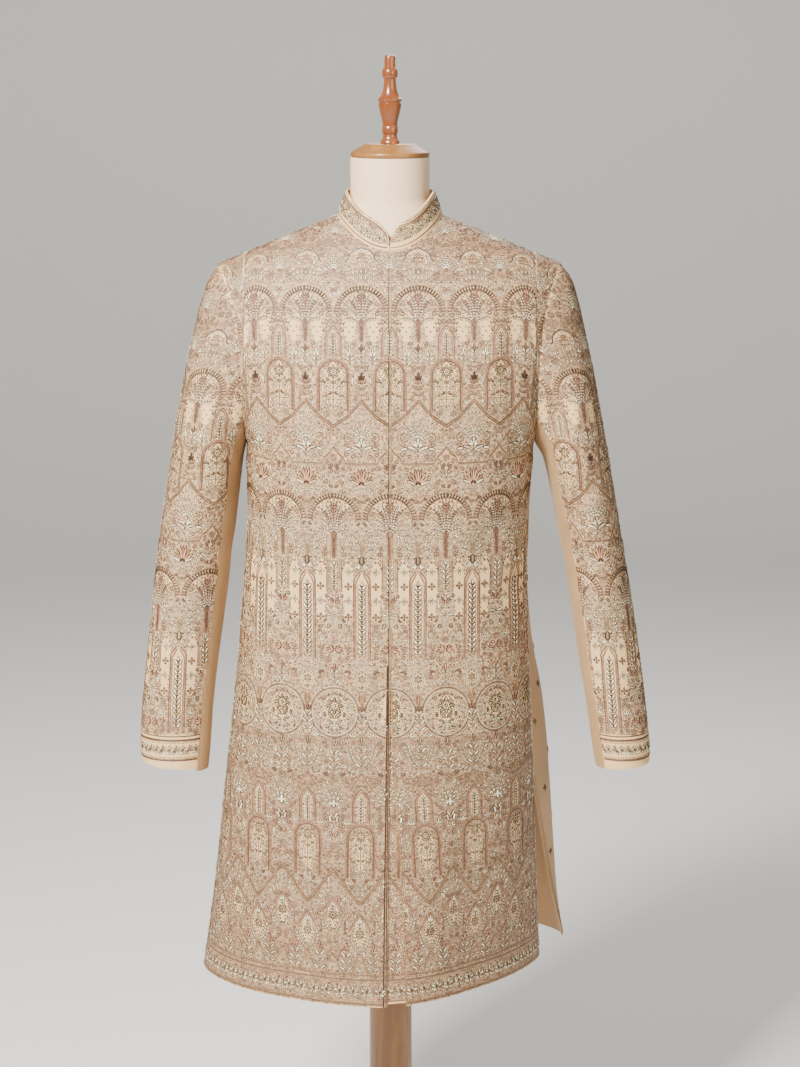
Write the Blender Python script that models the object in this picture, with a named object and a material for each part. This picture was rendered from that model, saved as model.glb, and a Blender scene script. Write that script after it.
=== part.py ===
"""A sherwani coat worn by a limbless dress form on a wooden stand.

Metres, +Z up, the floor at z = 0 and the front towards -Y. The origin is the
middle of the stand's underside. Left and right are the viewer's, so the left
half has negative x. The coat is cut as two fronts, a back, a stand collar, an
underlap behind the front closure and two sleeves of two pieces each. Every
cloth piece is a wall of one thickness through points of one shared body or
sleeve surface. The bust of the form takes the same points, moved inwards.
"""

import math
from typing import NamedTuple

import bmesh
import bpy
from mathutils import Vector

# Driving sizes of the coat
WALL = 0.0024              # embroidered cloth with its interlining
SEAM = 0.0004              # what parts two pieces at a seam
HEM_Z = 0.433
UNDERARM_Z = 1.19
ARMHOLE_X = 0.197          # half width at the underarm
TIP_X = 0.229              # half width across the shoulders
TIP_Z = 1.4325
NECK_X = 0.071             # half width of the neckline at the shoulder seam
NECK_Z = 1.4965
PIT_Z = 1.455              # neckline at the centre front
NAPE_Z = 1.496             # neckline at the centre back
VENT_Z = 0.702             # top of the side vents
BULGE_SKEW = 2.2           # more brings the back's swelling nearer to its seam
COLLAR_HEIGHT = 0.037
COLLAR_SIDE_DROP = 0.005   # how much lower the collar is at the shoulders
FRONT_PART_Z = 0.92        # the fronts begin to part below this height

# Counts of rows and columns
BODY_COLS = 8              # from the centre to the side seam
SKIRT_ROWS = 13            # from the hem to the underarm
YOKE_ROWS = 12             # from the underarm to the shoulder seam
NECK_ROW = 6               # the yoke row that starts at the neckline's pit
EVEN_ROWS = 4              # yoke rows over which the columns even out
SLEEVE_ROWS = 13
SEAM_FRONT = 9             # sleeve column of the inner seam, 15 degrees each
SEAM_BACK = 16             # sleeve column of the back seam

# Shape of the shoulder and neck
SHOULDER_ROUND = 2.5       # exponent of the curve that rolls over the shoulder
SHOULDER_SOFT = 0.03       # how softly the two shoulder slopes meet at the neck
NECKLINE_SQUARE = 0.8      # less is a squarer neckline in plan

# Stand collar
COLLAR_CENTRE = 0.015      # how far ahead of the middle its plan is centred
COLLAR_HALF_DEPTH = 0.075
COLLAR_FOOT = 0.0008       # what parts it from the neckline
COLLAR_END = 0.24          # share of its height at the very end
COLLAR_CORNER_LEFT = 0.030
COLLAR_CORNER_RIGHT = 0.036
COLLAR_LEAN_FRONT = 0.007
COLLAR_LEAN_SIDE = 0.013
COLLAR_LEAN_BACK = 0.005
COLLAR_COLS = 48
COLLAR_ROWS = 3

# Underlap
UNDERLAP_GAP = 0.0006
UNDERLAP_SHARE = 0.55      # how far it reaches under each front's first column
UNDERLAP_YOKE_ROWS = 3
UNDERLAP_RISE = 0.07       # share of a row by which it ends above the hem

# Dress form and stand
BUST_FIRST_ROW = 7         # body row where the bust's flat foot lies
NECK_ROOM = 0.0015          # more room for the collar's foot
NECK_R = 0.0533
NECK_Y = -0.008
NECK_TOP_Z = 1.5743
NECK_FOOT_Z = 1.522
REST = 0.0003              # what parts two hard pieces that rest on each other
NECK_FLARE = ((0.50, 0.35), (0.85, 0.70), (1.00, 1.00))
POST_FOOT_R = 0.031
POST_MIDDLE_R = 0.030
POST_TOP_R = 0.029
BASE_R = 0.20
BASE_HEIGHT = 0.030
TURNED_SEGMENTS = 24
FINIAL_SEGMENTS = 18
BASE_SEGMENTS = 48


class Section(NamedTuple):
    """One level cut through the coat below the underarm."""

    z: float
    left: float            # half width at the left side seam
    right: float           # half width at the right side seam
    front: float           # depth at the centre front
    back: float            # depth at the centre back
    left_square: float     # 2 is an ellipse, less is flatter
    right_square: float
    back_square: float
    left_seam_y: float
    right_seam_y: float
    bulge: float           # how far the right half of the back swells past its seam
    vent: float            # how far the back's edge stands out from the front's
    vent_y: float


SECTIONS = (
    Section(0.433, 0.267, 0.2145, 0.186, 0.222, 1.8, 1.40, 2.1, -0.016, 0.012, 0.014, 0.0395, 0.080),
    Section(0.520, 0.254, 0.2100, 0.172, 0.204, 2.0, 1.58, 2.2, -0.012, 0.010, 0.023, 0.0230, 0.054),
    Section(0.610, 0.243, 0.2060, 0.159, 0.184, 2.2, 1.80, 2.3, -0.008, 0.008, 0.029, 0.0110, 0.027),
    Section(0.702, 0.233, 0.2020, 0.148, 0.165, 2.3, 2.00, 2.4, -0.004, 0.006, 0.033, 0.0000, 0.000),
    Section(0.817, 0.220, 0.1965, 0.136, 0.146, 2.4, 2.20, 2.4, 0.000, 0.004, 0.026, 0.0000, 0.000),
    Section(0.904, 0.211, 0.1925, 0.128, 0.132, 2.4, 2.30, 2.4, 0.000, 0.002, 0.012, 0.0000, 0.000),
    Section(1.018, 0.201, 0.1900, 0.124, 0.116, 2.4, 2.40, 2.4, 0.000, 0.000, 0.002, 0.0000, 0.000),
    Section(1.103, 0.197, 0.1920, 0.128, 0.120, 2.5, 2.50, 2.5, 0.000, 0.000, 0.000, 0.0000, 0.000),
    Section(1.190, 0.197, 0.1970, 0.130, 0.128, 2.5, 2.50, 2.5, 0.000, 0.000, 0.000, 0.0000, 0.000),
)


class Spread(NamedTuple):
    """How the coat widens above the underarm."""

    z: float
    armhole: float         # half width at the armhole seam
    spread: float          # half width that the chest curve aims at


SPREADS = (
    Spread(1.1900, 0.197, 0.1970),
    Spread(1.2200, 0.1975, 0.2060),
    Spread(1.2700, 0.199, 0.2190),
    Spread(1.3350, 0.203, 0.2320),
    Spread(1.3900, 0.213, 0.2390),
    Spread(1.4325, 0.229, 0.2450),
)


class SleeveLine(NamedTuple):
    """Outer and inner line of both sleeves as half widths at a height."""

    z: float
    left_outer: float
    left_inner: float
    right_outer: float
    right_inner: float


SLEEVE_LINES = (
    SleeveLine(0.735, 0.3455, 0.2545, 0.3625, 0.2870),
    SleeveLine(0.764, 0.3485, 0.2515, 0.3620, 0.2820),
    SleeveLine(0.822, 0.3455, 0.2470, 0.3555, 0.2735),
    SleeveLine(0.880, 0.3395, 0.2400, 0.3480, 0.2635),
    SleeveLine(0.937, 0.3335, 0.2320, 0.3400, 0.2550),
    SleeveLine(0.994, 0.3270, 0.2240, 0.3305, 0.2450),
    SleeveLine(1.051, 0.3195, 0.2165, 0.3205, 0.2350),
    SleeveLine(1.107, 0.3110, 0.2095, 0.3110, 0.2240),
    SleeveLine(1.163, 0.3020, 0.2025, 0.3010, 0.2110),
    SleeveLine(1.190, 0.2975, 0.1975, 0.2960, 0.1975),
    SleeveLine(1.219, 0.2930, 0.1970, 0.2905, 0.1970),
    SleeveLine(1.274, 0.2820, 0.1970, 0.2800, 0.1970),
    SleeveLine(1.329, 0.2700, 0.1970, 0.2680, 0.1970),
    SleeveLine(1.383, 0.2555, 0.1970, 0.2550, 0.1970),
    SleeveLine(1.410, 0.2455, 0.1970, 0.2460, 0.1970),
    SleeveLine(1.4325, 0.2290, 0.1970, 0.2290, 0.1970),
)


class SleeveDepth(NamedTuple):
    """Half depth of a sleeve and how far it swings forward, along its length."""

    along: float
    half_depth: float
    swing: float


SLEEVE_DEPTHS = (
    SleeveDepth(0.00, 0.072, 0.000),
    SleeveDepth(0.12, 0.074, 0.000),
    SleeveDepth(0.30, 0.072, 0.000),
    SleeveDepth(0.50, 0.063, -0.003),
    SleeveDepth(0.70, 0.053, -0.012),
    SleeveDepth(0.85, 0.045, -0.024),
    SleeveDepth(1.00, 0.039, -0.036),
)


class Fold(NamedTuple):
    """One soft trough (negative depth) or ridge of the body's cloth."""

    front: bool
    x_top: float
    z_top: float
    x_foot: float
    z_foot: float
    half_width: float
    depth: float


FOLDS = (
    Fold(True, -0.172, 1.400, -0.166, 1.225, 0.016, -0.0045),
    Fold(True, -0.192, 1.330, -0.184, 1.215, 0.010, 0.0020),
    Fold(True, 0.170, 1.385, 0.164, 1.235, 0.015, -0.0040),
    Fold(True, 0.176, 1.120, 0.128, 1.060, 0.020, -0.0040),
    Fold(True, 0.180, 1.010, 0.140, 0.975, 0.022, -0.0030),
    Fold(True, -0.185, 1.100, -0.140, 1.045, 0.022, -0.0035),
    Fold(True, -0.120, 0.720, -0.135, 0.440, 0.035, -0.0060),
    Fold(True, 0.110, 0.760, 0.118, 0.440, 0.030, -0.0050),
    Fold(False, -0.168, 1.395, -0.160, 1.220, 0.018, -0.0045),
    Fold(False, 0.166, 1.390, 0.162, 1.230, 0.016, -0.0045),
    Fold(False, -0.150, 1.080, -0.060, 1.030, 0.026, -0.0040),
    Fold(False, 0.155, 1.070, 0.070, 1.035, 0.024, -0.0040),
    Fold(False, -0.095, 0.780, -0.118, 0.440, 0.036, -0.0070),
    Fold(False, 0.085, 0.800, 0.112, 0.440, 0.036, -0.0070),
)


class SleeveFold(NamedTuple):
    """One soft trough or ridge across a sleeve."""

    side: int
    along: float
    angle: float           # degrees from the outer line, forward positive
    half_along: float
    half_angle: float
    slant: float           # how far it climbs along the sleeve per degree
    depth: float


SLEEVE_FOLDS = (
    SleeveFold(-1, 0.11, 105, 0.05, 35, 0.0000, -0.0050),
    SleeveFold(-1, 0.40, 120, 0.035, 45, 0.0010, -0.0040),
    SleeveFold(-1, 0.49, 110, 0.030, 50, 0.0008, -0.0035),
    SleeveFold(-1, 0.45, 230, 0.035, 45, -0.0010, -0.0040),
    SleeveFold(1, 0.12, 105, 0.05, 35, 0.0000, -0.0050),
    SleeveFold(1, 0.43, 120, 0.035, 45, 0.0010, -0.0040),
    SleeveFold(1, 0.54, 115, 0.030, 50, 0.0008, -0.0035),
    SleeveFold(1, 0.47, 235, 0.035, 45, -0.0010, -0.0040),
)


class Ease(NamedTuple):
    """Room between the cloth's inner face and the bust at a height."""

    z: float
    room: float


EASES = (
    Ease(0.780, 0.014),
    Ease(0.950, 0.012),
    Ease(1.100, 0.010),
    Ease(1.250, 0.008),
    Ease(1.360, 0.006),
    Ease(1.400, 0.0020),
    Ease(1.425, 0.0006),
    Ease(1.520, 0.0006),
)


class Turn(NamedTuple):
    """One radius of a turned profile at a height above its foot."""

    height: float
    radius: float


FINIAL_TURNS = (
    Turn(0.0000, 0.0129),
    Turn(0.0030, 0.0129),
    Turn(0.0065, 0.0102),
    Turn(0.0125, 0.0093),
    Turn(0.0135, 0.0106),
    Turn(0.0180, 0.0108),
    Turn(0.0225, 0.0106),
    Turn(0.0235, 0.0098),
    Turn(0.0290, 0.0104),
    Turn(0.0390, 0.0130),
    Turn(0.0490, 0.0152),
    Turn(0.0530, 0.0155),
    Turn(0.0545, 0.0143),
    Turn(0.0560, 0.0158),
    Turn(0.0590, 0.0159),
    Turn(0.0605, 0.0140),
    Turn(0.0640, 0.0118),
    Turn(0.0700, 0.0096),
    Turn(0.0800, 0.0081),
    Turn(0.0855, 0.0081),
    Turn(0.0870, 0.0098),
    Turn(0.0925, 0.0106),
    Turn(0.0980, 0.0098),
    Turn(0.0998, 0.0077),
    Turn(0.1130, 0.0074),
    Turn(0.1158, 0.0062),
    Turn(0.1165, 0.0040),
)

CAP_TURNS = (
    Turn(0.0000, 0.0515),
    Turn(0.0012, 0.0530),
    Turn(0.0056, 0.0530),
    Turn(0.0066, 0.0520),
    Turn(0.0164, 0.0355),
    Turn(0.0174, 0.0338),
)

BASE_TURNS = (
    Turn(0.0000, BASE_R - 0.002),
    Turn(0.0020, BASE_R),
    Turn(0.0180, BASE_R),
    Turn(0.0230, BASE_R - 0.0035),
    Turn(0.0255, BASE_R - 0.0095),
    Turn(BASE_HEIGHT, BASE_R - 0.0240),
)


class Finish(NamedTuple):
    """Colour, roughness and metallic value of one material."""

    name: str
    color: tuple[float, float, float]
    roughness: float
    metallic: float


FINISHES = {
    "embroidered": Finish("embroidered_cloth", (0.62, 0.45, 0.30), 0.62, 0.0),
    "plain": Finish("plain_silk", (0.56, 0.43, 0.28), 0.50, 0.0),
    "bust": Finish("covered_form", (0.82, 0.76, 0.66), 0.75, 0.0),
    "pale_wood": Finish("pale_wood", (0.60, 0.34, 0.15), 0.40, 0.0),
    "red_wood": Finish("red_wood", (0.30, 0.075, 0.02), 0.25, 0.0),
}


# Small helpers

def smooth_step(low: float, high: float, value: float) -> float:
    """Ease from 0 at low to 1 at high."""
    share = min(1.0, max(0.0, (value - low) / (high - low)))
    return share * share * (3.0 - 2.0 * share)


def read(table, column: str, value: float, key: str = "z") -> float:
    """Read one column of a table at a value of its key, along a smooth curve."""
    keys = [getattr(row, key) for row in table]
    cells = [getattr(row, column) for row in table]
    value = min(keys[-1], max(keys[0], value))
    at = max(i for i in range(len(keys) - 1) if keys[i] <= value)
    span = keys[at + 1] - keys[at]
    share = (value - keys[at]) / span
    rise = cells[at + 1] - cells[at]
    before = rise / span
    after = rise / span
    if at > 0:
        before = (cells[at + 1] - cells[at - 1]) / (keys[at + 1] - keys[at - 1])
    if at < len(keys) - 2:
        after = (cells[at + 2] - cells[at]) / (keys[at + 2] - keys[at])
    curve = (2 * share**3 - 3 * share**2 + 1) * cells[at]
    curve += (share**3 - 2 * share**2 + share) * span * before
    curve += (-2 * share**3 + 3 * share**2) * cells[at + 1]
    curve += (share**3 - share**2) * span * after
    return curve


def mix(first, second, share: float):
    """Go from one number or vector to another by a share."""
    return first * (1.0 - share) + second * share


def bow(share: float, square: float) -> float:
    """Height of a rounded corner curve: 1 at share 0 and 0 at share 1."""
    return max(0.0, 1.0 - min(1.0, abs(share)) ** square) ** (1.0 / square)


# Surface of the body

def shoulder_height(x: float) -> float:
    """Height of the shoulder seam at a distance from the middle."""
    tip = math.hypot(TIP_X, SHOULDER_SOFT)
    neck = math.hypot(NECK_X, SHOULDER_SOFT)
    slope = (NECK_Z - TIP_Z) / (tip - neck)
    return NECK_Z - slope * (math.hypot(x, SHOULDER_SOFT) - neck)


def shoulder_normal(x: float) -> Vector:
    """Outward direction on the shoulder seam."""
    step = 0.002
    fall = (shoulder_height(x + step) - shoulder_height(x - step)) / (2 * step)
    return Vector((-fall, 0.0, 1.0)).normalized()


def yoke_depth(x: float, z: float, front: bool) -> float:
    """Distance of the cloth from the shoulder plane above the underarm."""
    top = shoulder_height(x)
    climb = min(1.0, (z - UNDERARM_Z) / (top - UNDERARM_Z))
    chest = SECTIONS[-1].front if front else SECTIONS[-1].back
    square = SECTIONS[-1].left_square
    across = bow(abs(x) / read(SPREADS, "spread", z), square)
    return chest * across * bow(climb, SHOULDER_ROUND)


def neckline(turn: float, front: bool) -> Vector:
    """Point of the right half of the neckline, turned from the middle."""
    x = NECK_X * math.sin(turn)
    deepest = yoke_depth(0.0, PIT_Z if front else NAPE_Z, front)
    depth = deepest * max(0.0, math.cos(turn)) ** NECKLINE_SQUARE
    full = yoke_depth(x, UNDERARM_Z, front)
    climb = bow(depth / full, SHOULDER_ROUND)
    z = mix(UNDERARM_Z, shoulder_height(x), climb)
    return Vector((x, -depth if front else depth, z))


def side_angle(share: float) -> float:
    """Quarter turn from the middle to the side seam, closer together at the side."""
    return math.pi / 2.0 * mix(share, math.sin(math.pi / 2.0 * share), 0.35)


def side_reach(share: float) -> float:
    """Share of the half width that a column of the body reaches."""
    return math.sin(side_angle(share))


def yoke_point(side: int, front: bool, row: float, share: float) -> Vector:
    """Point of the cloth above the underarm, by row and share to the armhole."""
    outer_z = UNDERARM_Z + (TIP_Z - UNDERARM_Z) * (1.0 - math.cos(math.pi * row / YOKE_ROWS)) / 2.0
    outer_x = read(SPREADS, "armhole", outer_z)
    middle_top = PIT_Z if front else NAPE_Z
    if row <= NECK_ROW:
        inner_x = 0.0
        inner_z = mix(UNDERARM_Z, middle_top, row / NECK_ROW)
    else:
        turn = math.pi / 2.0 * (row - NECK_ROW) / (YOKE_ROWS - NECK_ROW)
        inner = neckline(turn, front)
        inner_x = inner.x
        inner_z = inner.z
    even = mix(share, math.sin(math.pi / 2.0 * share), 0.45)
    reach = mix(side_reach(share), even, smooth_step(0.0, EVEN_ROWS, row))
    x = mix(inner_x, outer_x, reach)
    z = mix(inner_z, outer_z, reach)
    if row >= YOKE_ROWS:
        z = shoulder_height(x)
    sign = -1.0 if front else 1.0
    y = 0.0 if row >= YOKE_ROWS else sign * yoke_depth(x, z, front)
    return Vector((side * x, y, z))


def middle_x(side: int, z: float) -> float:
    """Half gap of one front's edge from the middle line."""
    opening = smooth_step(FRONT_PART_Z, HEM_Z, z) if z < FRONT_PART_Z else 0.0
    widest = 0.021 if side > 0 else 0.004
    return SEAM / 2.0 + widest * opening


def skirt_point(side: int, front: bool, z: float, share: float) -> Vector:
    """Point of the cloth below the underarm, by height and share to the side seam."""
    half = "right" if side > 0 else "left"
    seam_x = read(SECTIONS, half, z)
    seam_y = read(SECTIONS, half + "_seam_y", z)
    if front:
        square = read(SECTIONS, half + "_square", z)
        start = math.asin(min(1.0, middle_x(side, z) / seam_x))
        reach = math.sin(mix(start, math.pi / 2.0, side_angle(share) / (math.pi / 2.0)))
        depth = read(SECTIONS, "front", z) + seam_y
        return Vector((side * seam_x * reach, seam_y - depth * bow(reach, square), z))
    square = read(SECTIONS, "back_square", z)
    reach = side_reach(share)
    depth = read(SECTIONS, "back", z) - seam_y
    point = Vector((seam_x * reach, seam_y + depth * bow(reach, square), z))
    if side > 0:
        point.x += read(SECTIONS, "bulge", z) * math.sin(math.pi * share**BULGE_SKEW)
        if z < VENT_Z:
            point.x += read(SECTIONS, "vent", z) * share**2
            point.y += read(SECTIONS, "vent_y", z) * share**2
    point.x *= side
    return point


def body_point(side: int, front: bool, row: float, share: float) -> Vector:
    """Point of the body's cloth without its folds, by row from the hem up."""
    if row >= SKIRT_ROWS:
        return yoke_point(side, front, row - SKIRT_ROWS, share)
    z = mix(HEM_Z, UNDERARM_Z, row / SKIRT_ROWS)
    return skirt_point(side, front, z, share)


def body_normal(side: int, front: bool, row: float, share: float) -> Vector:
    """Outward direction of the body's cloth."""
    if row >= SKIRT_ROWS + YOKE_ROWS:
        return shoulder_normal(body_point(side, front, row, share).x)
    if share >= 1.0 and row <= SKIRT_ROWS and (front or side < 0):
        above = body_point(side, front, min(SKIRT_ROWS, row + 0.5), 1.0)
        below = body_point(side, front, max(0, row - 0.5), 1.0)
        up = above - below
        return Vector((side * up.z, 0.0, -abs(up.x) if up.x * side > 0 else abs(up.x))).normalized()
    step = 0.02
    left = body_point(side, front, row, max(0.0, share - step))
    right = body_point(side, front, row, min(1.0, share + step))
    low = body_point(side, front, max(0.0, row - step), share)
    high = body_point(side, front, min(SKIRT_ROWS + YOKE_ROWS, row + step), share)
    normal = (right - left).cross(high - low).normalized()
    if front != (side > 0):
        normal.negate()
    if share <= 0.0 and row <= SKIRT_ROWS + NECK_ROW:
        normal.x = 0.0
        normal.normalize()
    return normal


def fold_depth(front: bool, point: Vector) -> float:
    """How far the folds move a point of the body's cloth outwards."""
    moved = 0.0
    for fold in FOLDS:
        if fold.front != front:
            continue
        top = Vector((fold.x_top, fold.z_top))
        run = Vector((fold.x_foot, fold.z_foot)) - top
        place = Vector((point.x, point.z)) - top
        share = min(1.0, max(0.0, place.dot(run) / run.length_squared))
        away = (place - run * share).length
        fade = 0.35 + 0.65 * math.sin(math.pi * min(1.0, max(0.0, share)))
        moved += fold.depth * fade * math.exp(-((away / fold.half_width) ** 2))
    return moved


def seam_trim(front: bool, row: int, col: int) -> Vector:
    """Small move that keeps two pieces apart at a shoulder or side seam."""
    sign = -1.0 if front else 1.0
    at_shoulder = row == SKIRT_ROWS + YOKE_ROWS
    at_side = col == BODY_COLS and row <= SKIRT_ROWS
    if at_shoulder or at_side:
        return Vector((0.0, sign * SEAM / 2.0, 0.0))
    return Vector((0.0, 0.0, 0.0))


def body_grid(side: int, front: bool, depth: float):
    """Rows of points of one half of a front or back, moved inwards by a depth."""
    rows = []
    for row in range(SKIRT_ROWS + YOKE_ROWS + 1):
        line = []
        for col in range(BODY_COLS + 1):
            share = col / BODY_COLS
            point = body_point(side, front, row, share)
            normal = body_normal(side, front, row, share)
            moved = fold_depth(front, point)
            line.append(point + normal * (moved - depth) + seam_trim(front, row, col))
        rows.append(line)
    return rows


# Surface of the sleeves

def armhole_point(side: int, angle: float) -> Vector:
    """Point of the armhole seam, turned forward from the shoulder tip."""
    front = angle <= 180.0
    turned = angle if front else 360.0 - angle
    row = YOKE_ROWS * (1.0 - turned / 180.0)
    return yoke_point(side, front, row, 1.0)


def armhole_normal(side: int, angle: float) -> Vector:
    """Outward direction of the body's cloth at the armhole seam."""
    front = angle <= 180.0
    turned = angle if front else 360.0 - angle
    return body_normal(side, front, SKIRT_ROWS + YOKE_ROWS * (1.0 - turned / 180.0), 1.0)


def sleeve_point(side: int, along: float, angle: float) -> Vector:
    """Point of a sleeve by its length and the angle forward from its outer line."""
    half = "right" if side > 0 else "left"
    outer_z = mix(TIP_Z, SLEEVE_LINES[0].z + 0.006, along)
    inner_z = mix(UNDERARM_Z, SLEEVE_LINES[0].z, along**1.5)
    outer = Vector((side * read(SLEEVE_LINES, half + "_outer", outer_z), 0.0, outer_z))
    inner = Vector((side * read(SLEEVE_LINES, half + "_inner", inner_z), 0.0, inner_z))
    middle = (outer + inner) / 2.0
    reach = (outer - inner) / 2.0
    turn = math.radians(angle)
    depth = read(SLEEVE_DEPTHS, "half_depth", along, "along")
    swing = read(SLEEVE_DEPTHS, "swing", along, "along")
    point = middle + reach * math.cos(turn)
    point.y = swing - depth * math.sin(turn)
    held = 1.0 - smooth_step(0.0, 0.2, along)
    if held > 0.0:
        top = Vector((side * TIP_X, 0.0, TIP_Z))
        foot = Vector((side * ARMHOLE_X, 0.0, UNDERARM_Z))
        plain = (top + foot) / 2.0 + (top - foot) / 2.0 * math.cos(turn)
        plain.y = -SLEEVE_DEPTHS[0].half_depth * math.sin(turn)
        point += (armhole_point(side, angle) - plain) * held
    return point


def sleeve_fold(side: int, along: float, angle: float) -> float:
    """How far the folds move a point of a sleeve outwards."""
    moved = 0.0
    for fold in SLEEVE_FOLDS:
        if fold.side != side:
            continue
        off_angle = (angle - fold.angle + 180.0) % 360.0 - 180.0
        off_along = along - fold.along - fold.slant * off_angle
        reach = (off_along / fold.half_along) ** 2 + (off_angle / fold.half_angle) ** 2
        moved += fold.depth * math.exp(-reach)
    return moved


def sleeve_normal(side: int, along: float, angle: float) -> Vector:
    """Outward direction of a sleeve's cloth."""
    step = 0.01
    low = sleeve_point(side, min(1.0, along + step), angle)
    high = sleeve_point(side, max(0.0, along - step), angle)
    ahead = sleeve_point(side, along, (angle + 2.0) % 360.0)
    behind = sleeve_point(side, along, (angle - 2.0) % 360.0)
    normal = (ahead - behind).cross(low - high).normalized()
    middle = (sleeve_point(side, along, 0.0) + sleeve_point(side, along, 180.0)) / 2.0
    if normal.dot(sleeve_point(side, along, angle) - middle) < 0.0:
        normal.negate()
    return normal


def sleeve_grid(side: int, angles, depth: float, cuff_drop: float):
    """Rows of points of one sleeve piece, from the armhole to the cuff."""
    rows = []
    for row in range(SLEEVE_ROWS + 1):
        along = row / SLEEVE_ROWS
        line = []
        for angle in angles:
            point = sleeve_point(side, along, angle % 360.0)
            normal = sleeve_normal(side, along, angle % 360.0)
            if row == 0:
                body = armhole_normal(side, angle % 360.0)
                seam = armhole_point(side, (angle + 1.0) % 360.0) - armhole_point(side, (angle - 1.0) % 360.0)
                outward = seam.cross(body).normalized()
                if outward.dot(sleeve_point(side, 0.1, angle % 360.0) - point) < 0.0:
                    outward.negate()
                point = point + outward * SEAM
                normal = mix(normal, body, (1.0 + math.cos(math.radians(angle))) / 2.0).normalized()
            else:
                point = point + normal * sleeve_fold(side, along, angle % 360.0)
            fall = cuff_drop * smooth_step(0.8, 1.0, along)
            line.append(point - normal * depth - Vector((0.0, 0.0, fall)))
        rows.append(line)
    return rows


# Making meshes

def make_material(finish: Finish) -> bpy.types.Material:
    """Make one Principled material."""
    material = bpy.data.materials.new(finish.name)
    material.use_nodes = True
    shader = material.node_tree.nodes["Principled BSDF"]
    shader.inputs["Base Color"].default_value = (*finish.color, 1.0)
    shader.inputs["Roughness"].default_value = finish.roughness
    shader.inputs["Metallic"].default_value = finish.metallic
    return material


def place_object(name: str, mesh_data: bmesh.types.BMesh, material: bpy.types.Material) -> bpy.types.Object:
    """Turn a bmesh into a smooth shaded object of the scene."""
    bmesh.ops.recalc_face_normals(mesh_data, faces=mesh_data.faces)
    mesh = bpy.data.meshes.new(name)
    mesh_data.to_mesh(mesh)
    mesh_data.free()
    mesh.materials.append(material)
    mesh.shade_smooth()
    mesh.set_sharp_from_angle(angle=math.radians(40.0))
    item = bpy.data.objects.new(name, mesh)
    bpy.context.scene.collection.objects.link(item)
    return item


def add_grid(mesh_data: bmesh.types.BMesh, grid, flip: bool = False):
    """Add a grid of points as triangles with one diagonal and return its vertices."""
    verts = [[mesh_data.verts.new(point) for point in line] for line in grid]
    for low, high in zip(verts, verts[1:]):
        for a, b, c, d in zip(low, low[1:], high[1:], high):
            for corners in ((a, b, c), (a, c, d)):
                mesh_data.faces.new(corners[::-1] if flip else corners)
    return verts


def make_wall(name: str, outer, inner, material: bpy.types.Material) -> bpy.types.Object:
    """Make a closed wall between an outer and an inner grid of points."""
    mesh_data = bmesh.new()
    front = add_grid(mesh_data, outer)
    back = add_grid(mesh_data, inner, flip=True)

    def rim(lines):
        last = len(lines) - 1
        end = len(lines[0]) - 1
        loop = [(0, col) for col in range(end)]
        loop += [(row, end) for row in range(last)]
        loop += [(last, col) for col in range(end, 0, -1)]
        loop += [(row, 0) for row in range(last, 0, -1)]
        return [lines[row][col] for row, col in loop]

    outer_rim = rim(front)
    inner_rim = rim(back)
    for at, corner in enumerate(outer_rim):
        after = (at + 1) % len(outer_rim)
        mesh_data.faces.new((corner, inner_rim[at], inner_rim[after]))
        mesh_data.faces.new((corner, inner_rim[after], outer_rim[after]))
    return place_object(name, mesh_data, material)


def make_turned(name: str, turns, foot_z: float, material, segments: int = TURNED_SEGMENTS, y: float = 0.0):
    """Spin a profile round the upright axis into a closed solid."""
    mesh_data = bmesh.new()
    foot = foot_z + turns[0].height
    top = foot_z + turns[-1].height
    points = [(0.0, foot)] + [(turn.radius, foot_z + turn.height) for turn in turns] + [(0.0, top)]
    verts = [mesh_data.verts.new((radius, y, z)) for radius, z in points]
    edges = [mesh_data.edges.new(pair) for pair in zip(verts, verts[1:])]
    bmesh.ops.spin(
        mesh_data, geom=verts + edges, cent=(0.0, y, 0.0), axis=(0.0, 0.0, 1.0),
        angle=2.0 * math.pi, steps=segments, use_merge=True,
    )
    bmesh.ops.remove_doubles(mesh_data, verts=mesh_data.verts, dist=1e-6)
    return place_object(name, mesh_data, material)


# Pieces of the coat

def front_panel(side: int, material) -> bpy.types.Object:
    """Front from its centre edge to the side seam, hem to shoulder seam."""
    name = "front_right" if side > 0 else "front_left"
    grids = []
    for depth in (0.0, WALL):
        grid = body_grid(side, True, depth)
        for row, line in enumerate(grid):
            if SKIRT_ROWS < row <= SKIRT_ROWS + NECK_ROW:
                line[0] = line[0] + Vector((side * SEAM / 2.0, 0.0, 0.0))
        grids.append(grid)
    return make_wall(name, grids[0], grids[1], material)


def back_panel(material) -> bpy.types.Object:
    """Back in one piece, from one side seam across to the other."""
    grids = []
    for depth in (0.0, WALL):
        grids.append(list(zip(body_grid(-1, False, depth), body_grid(1, False, depth))))
    mesh_data = bmesh.new()
    for rows, flip in zip(grids, (False, True)):
        add_grid(mesh_data, [line[0] for line in rows], flip)
        add_grid(mesh_data, [line[1] for line in rows], not flip)
    for half in (0, 1):
        outer = [line[half] for line in grids[0]]
        inner = [line[half] for line in grids[1]]
        loop = [(0, col) for col in range(BODY_COLS + 1)]
        loop += [(row, BODY_COLS) for row in range(1, len(outer))]
        loop += [(len(outer) - 1, col) for col in range(BODY_COLS - 1, -1, -1)]
        loop += [(row, 0) for row in range(len(outer) - 2, SKIRT_ROWS + NECK_ROW - 1, -1)]
        for (row_a, col_a), (row_b, col_b) in zip(loop, loop[1:]):
            corners = [outer[row_a][col_a], inner[row_a][col_a], inner[row_b][col_b], outer[row_b][col_b]]
            verts = [mesh_data.verts.new(point) for point in corners]
            mesh_data.faces.new((verts[0], verts[1], verts[2]))
            mesh_data.faces.new((verts[0], verts[2], verts[3]))
    bmesh.ops.remove_doubles(mesh_data, verts=mesh_data.verts, dist=1e-5)
    return place_object("back", mesh_data, material)


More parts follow.
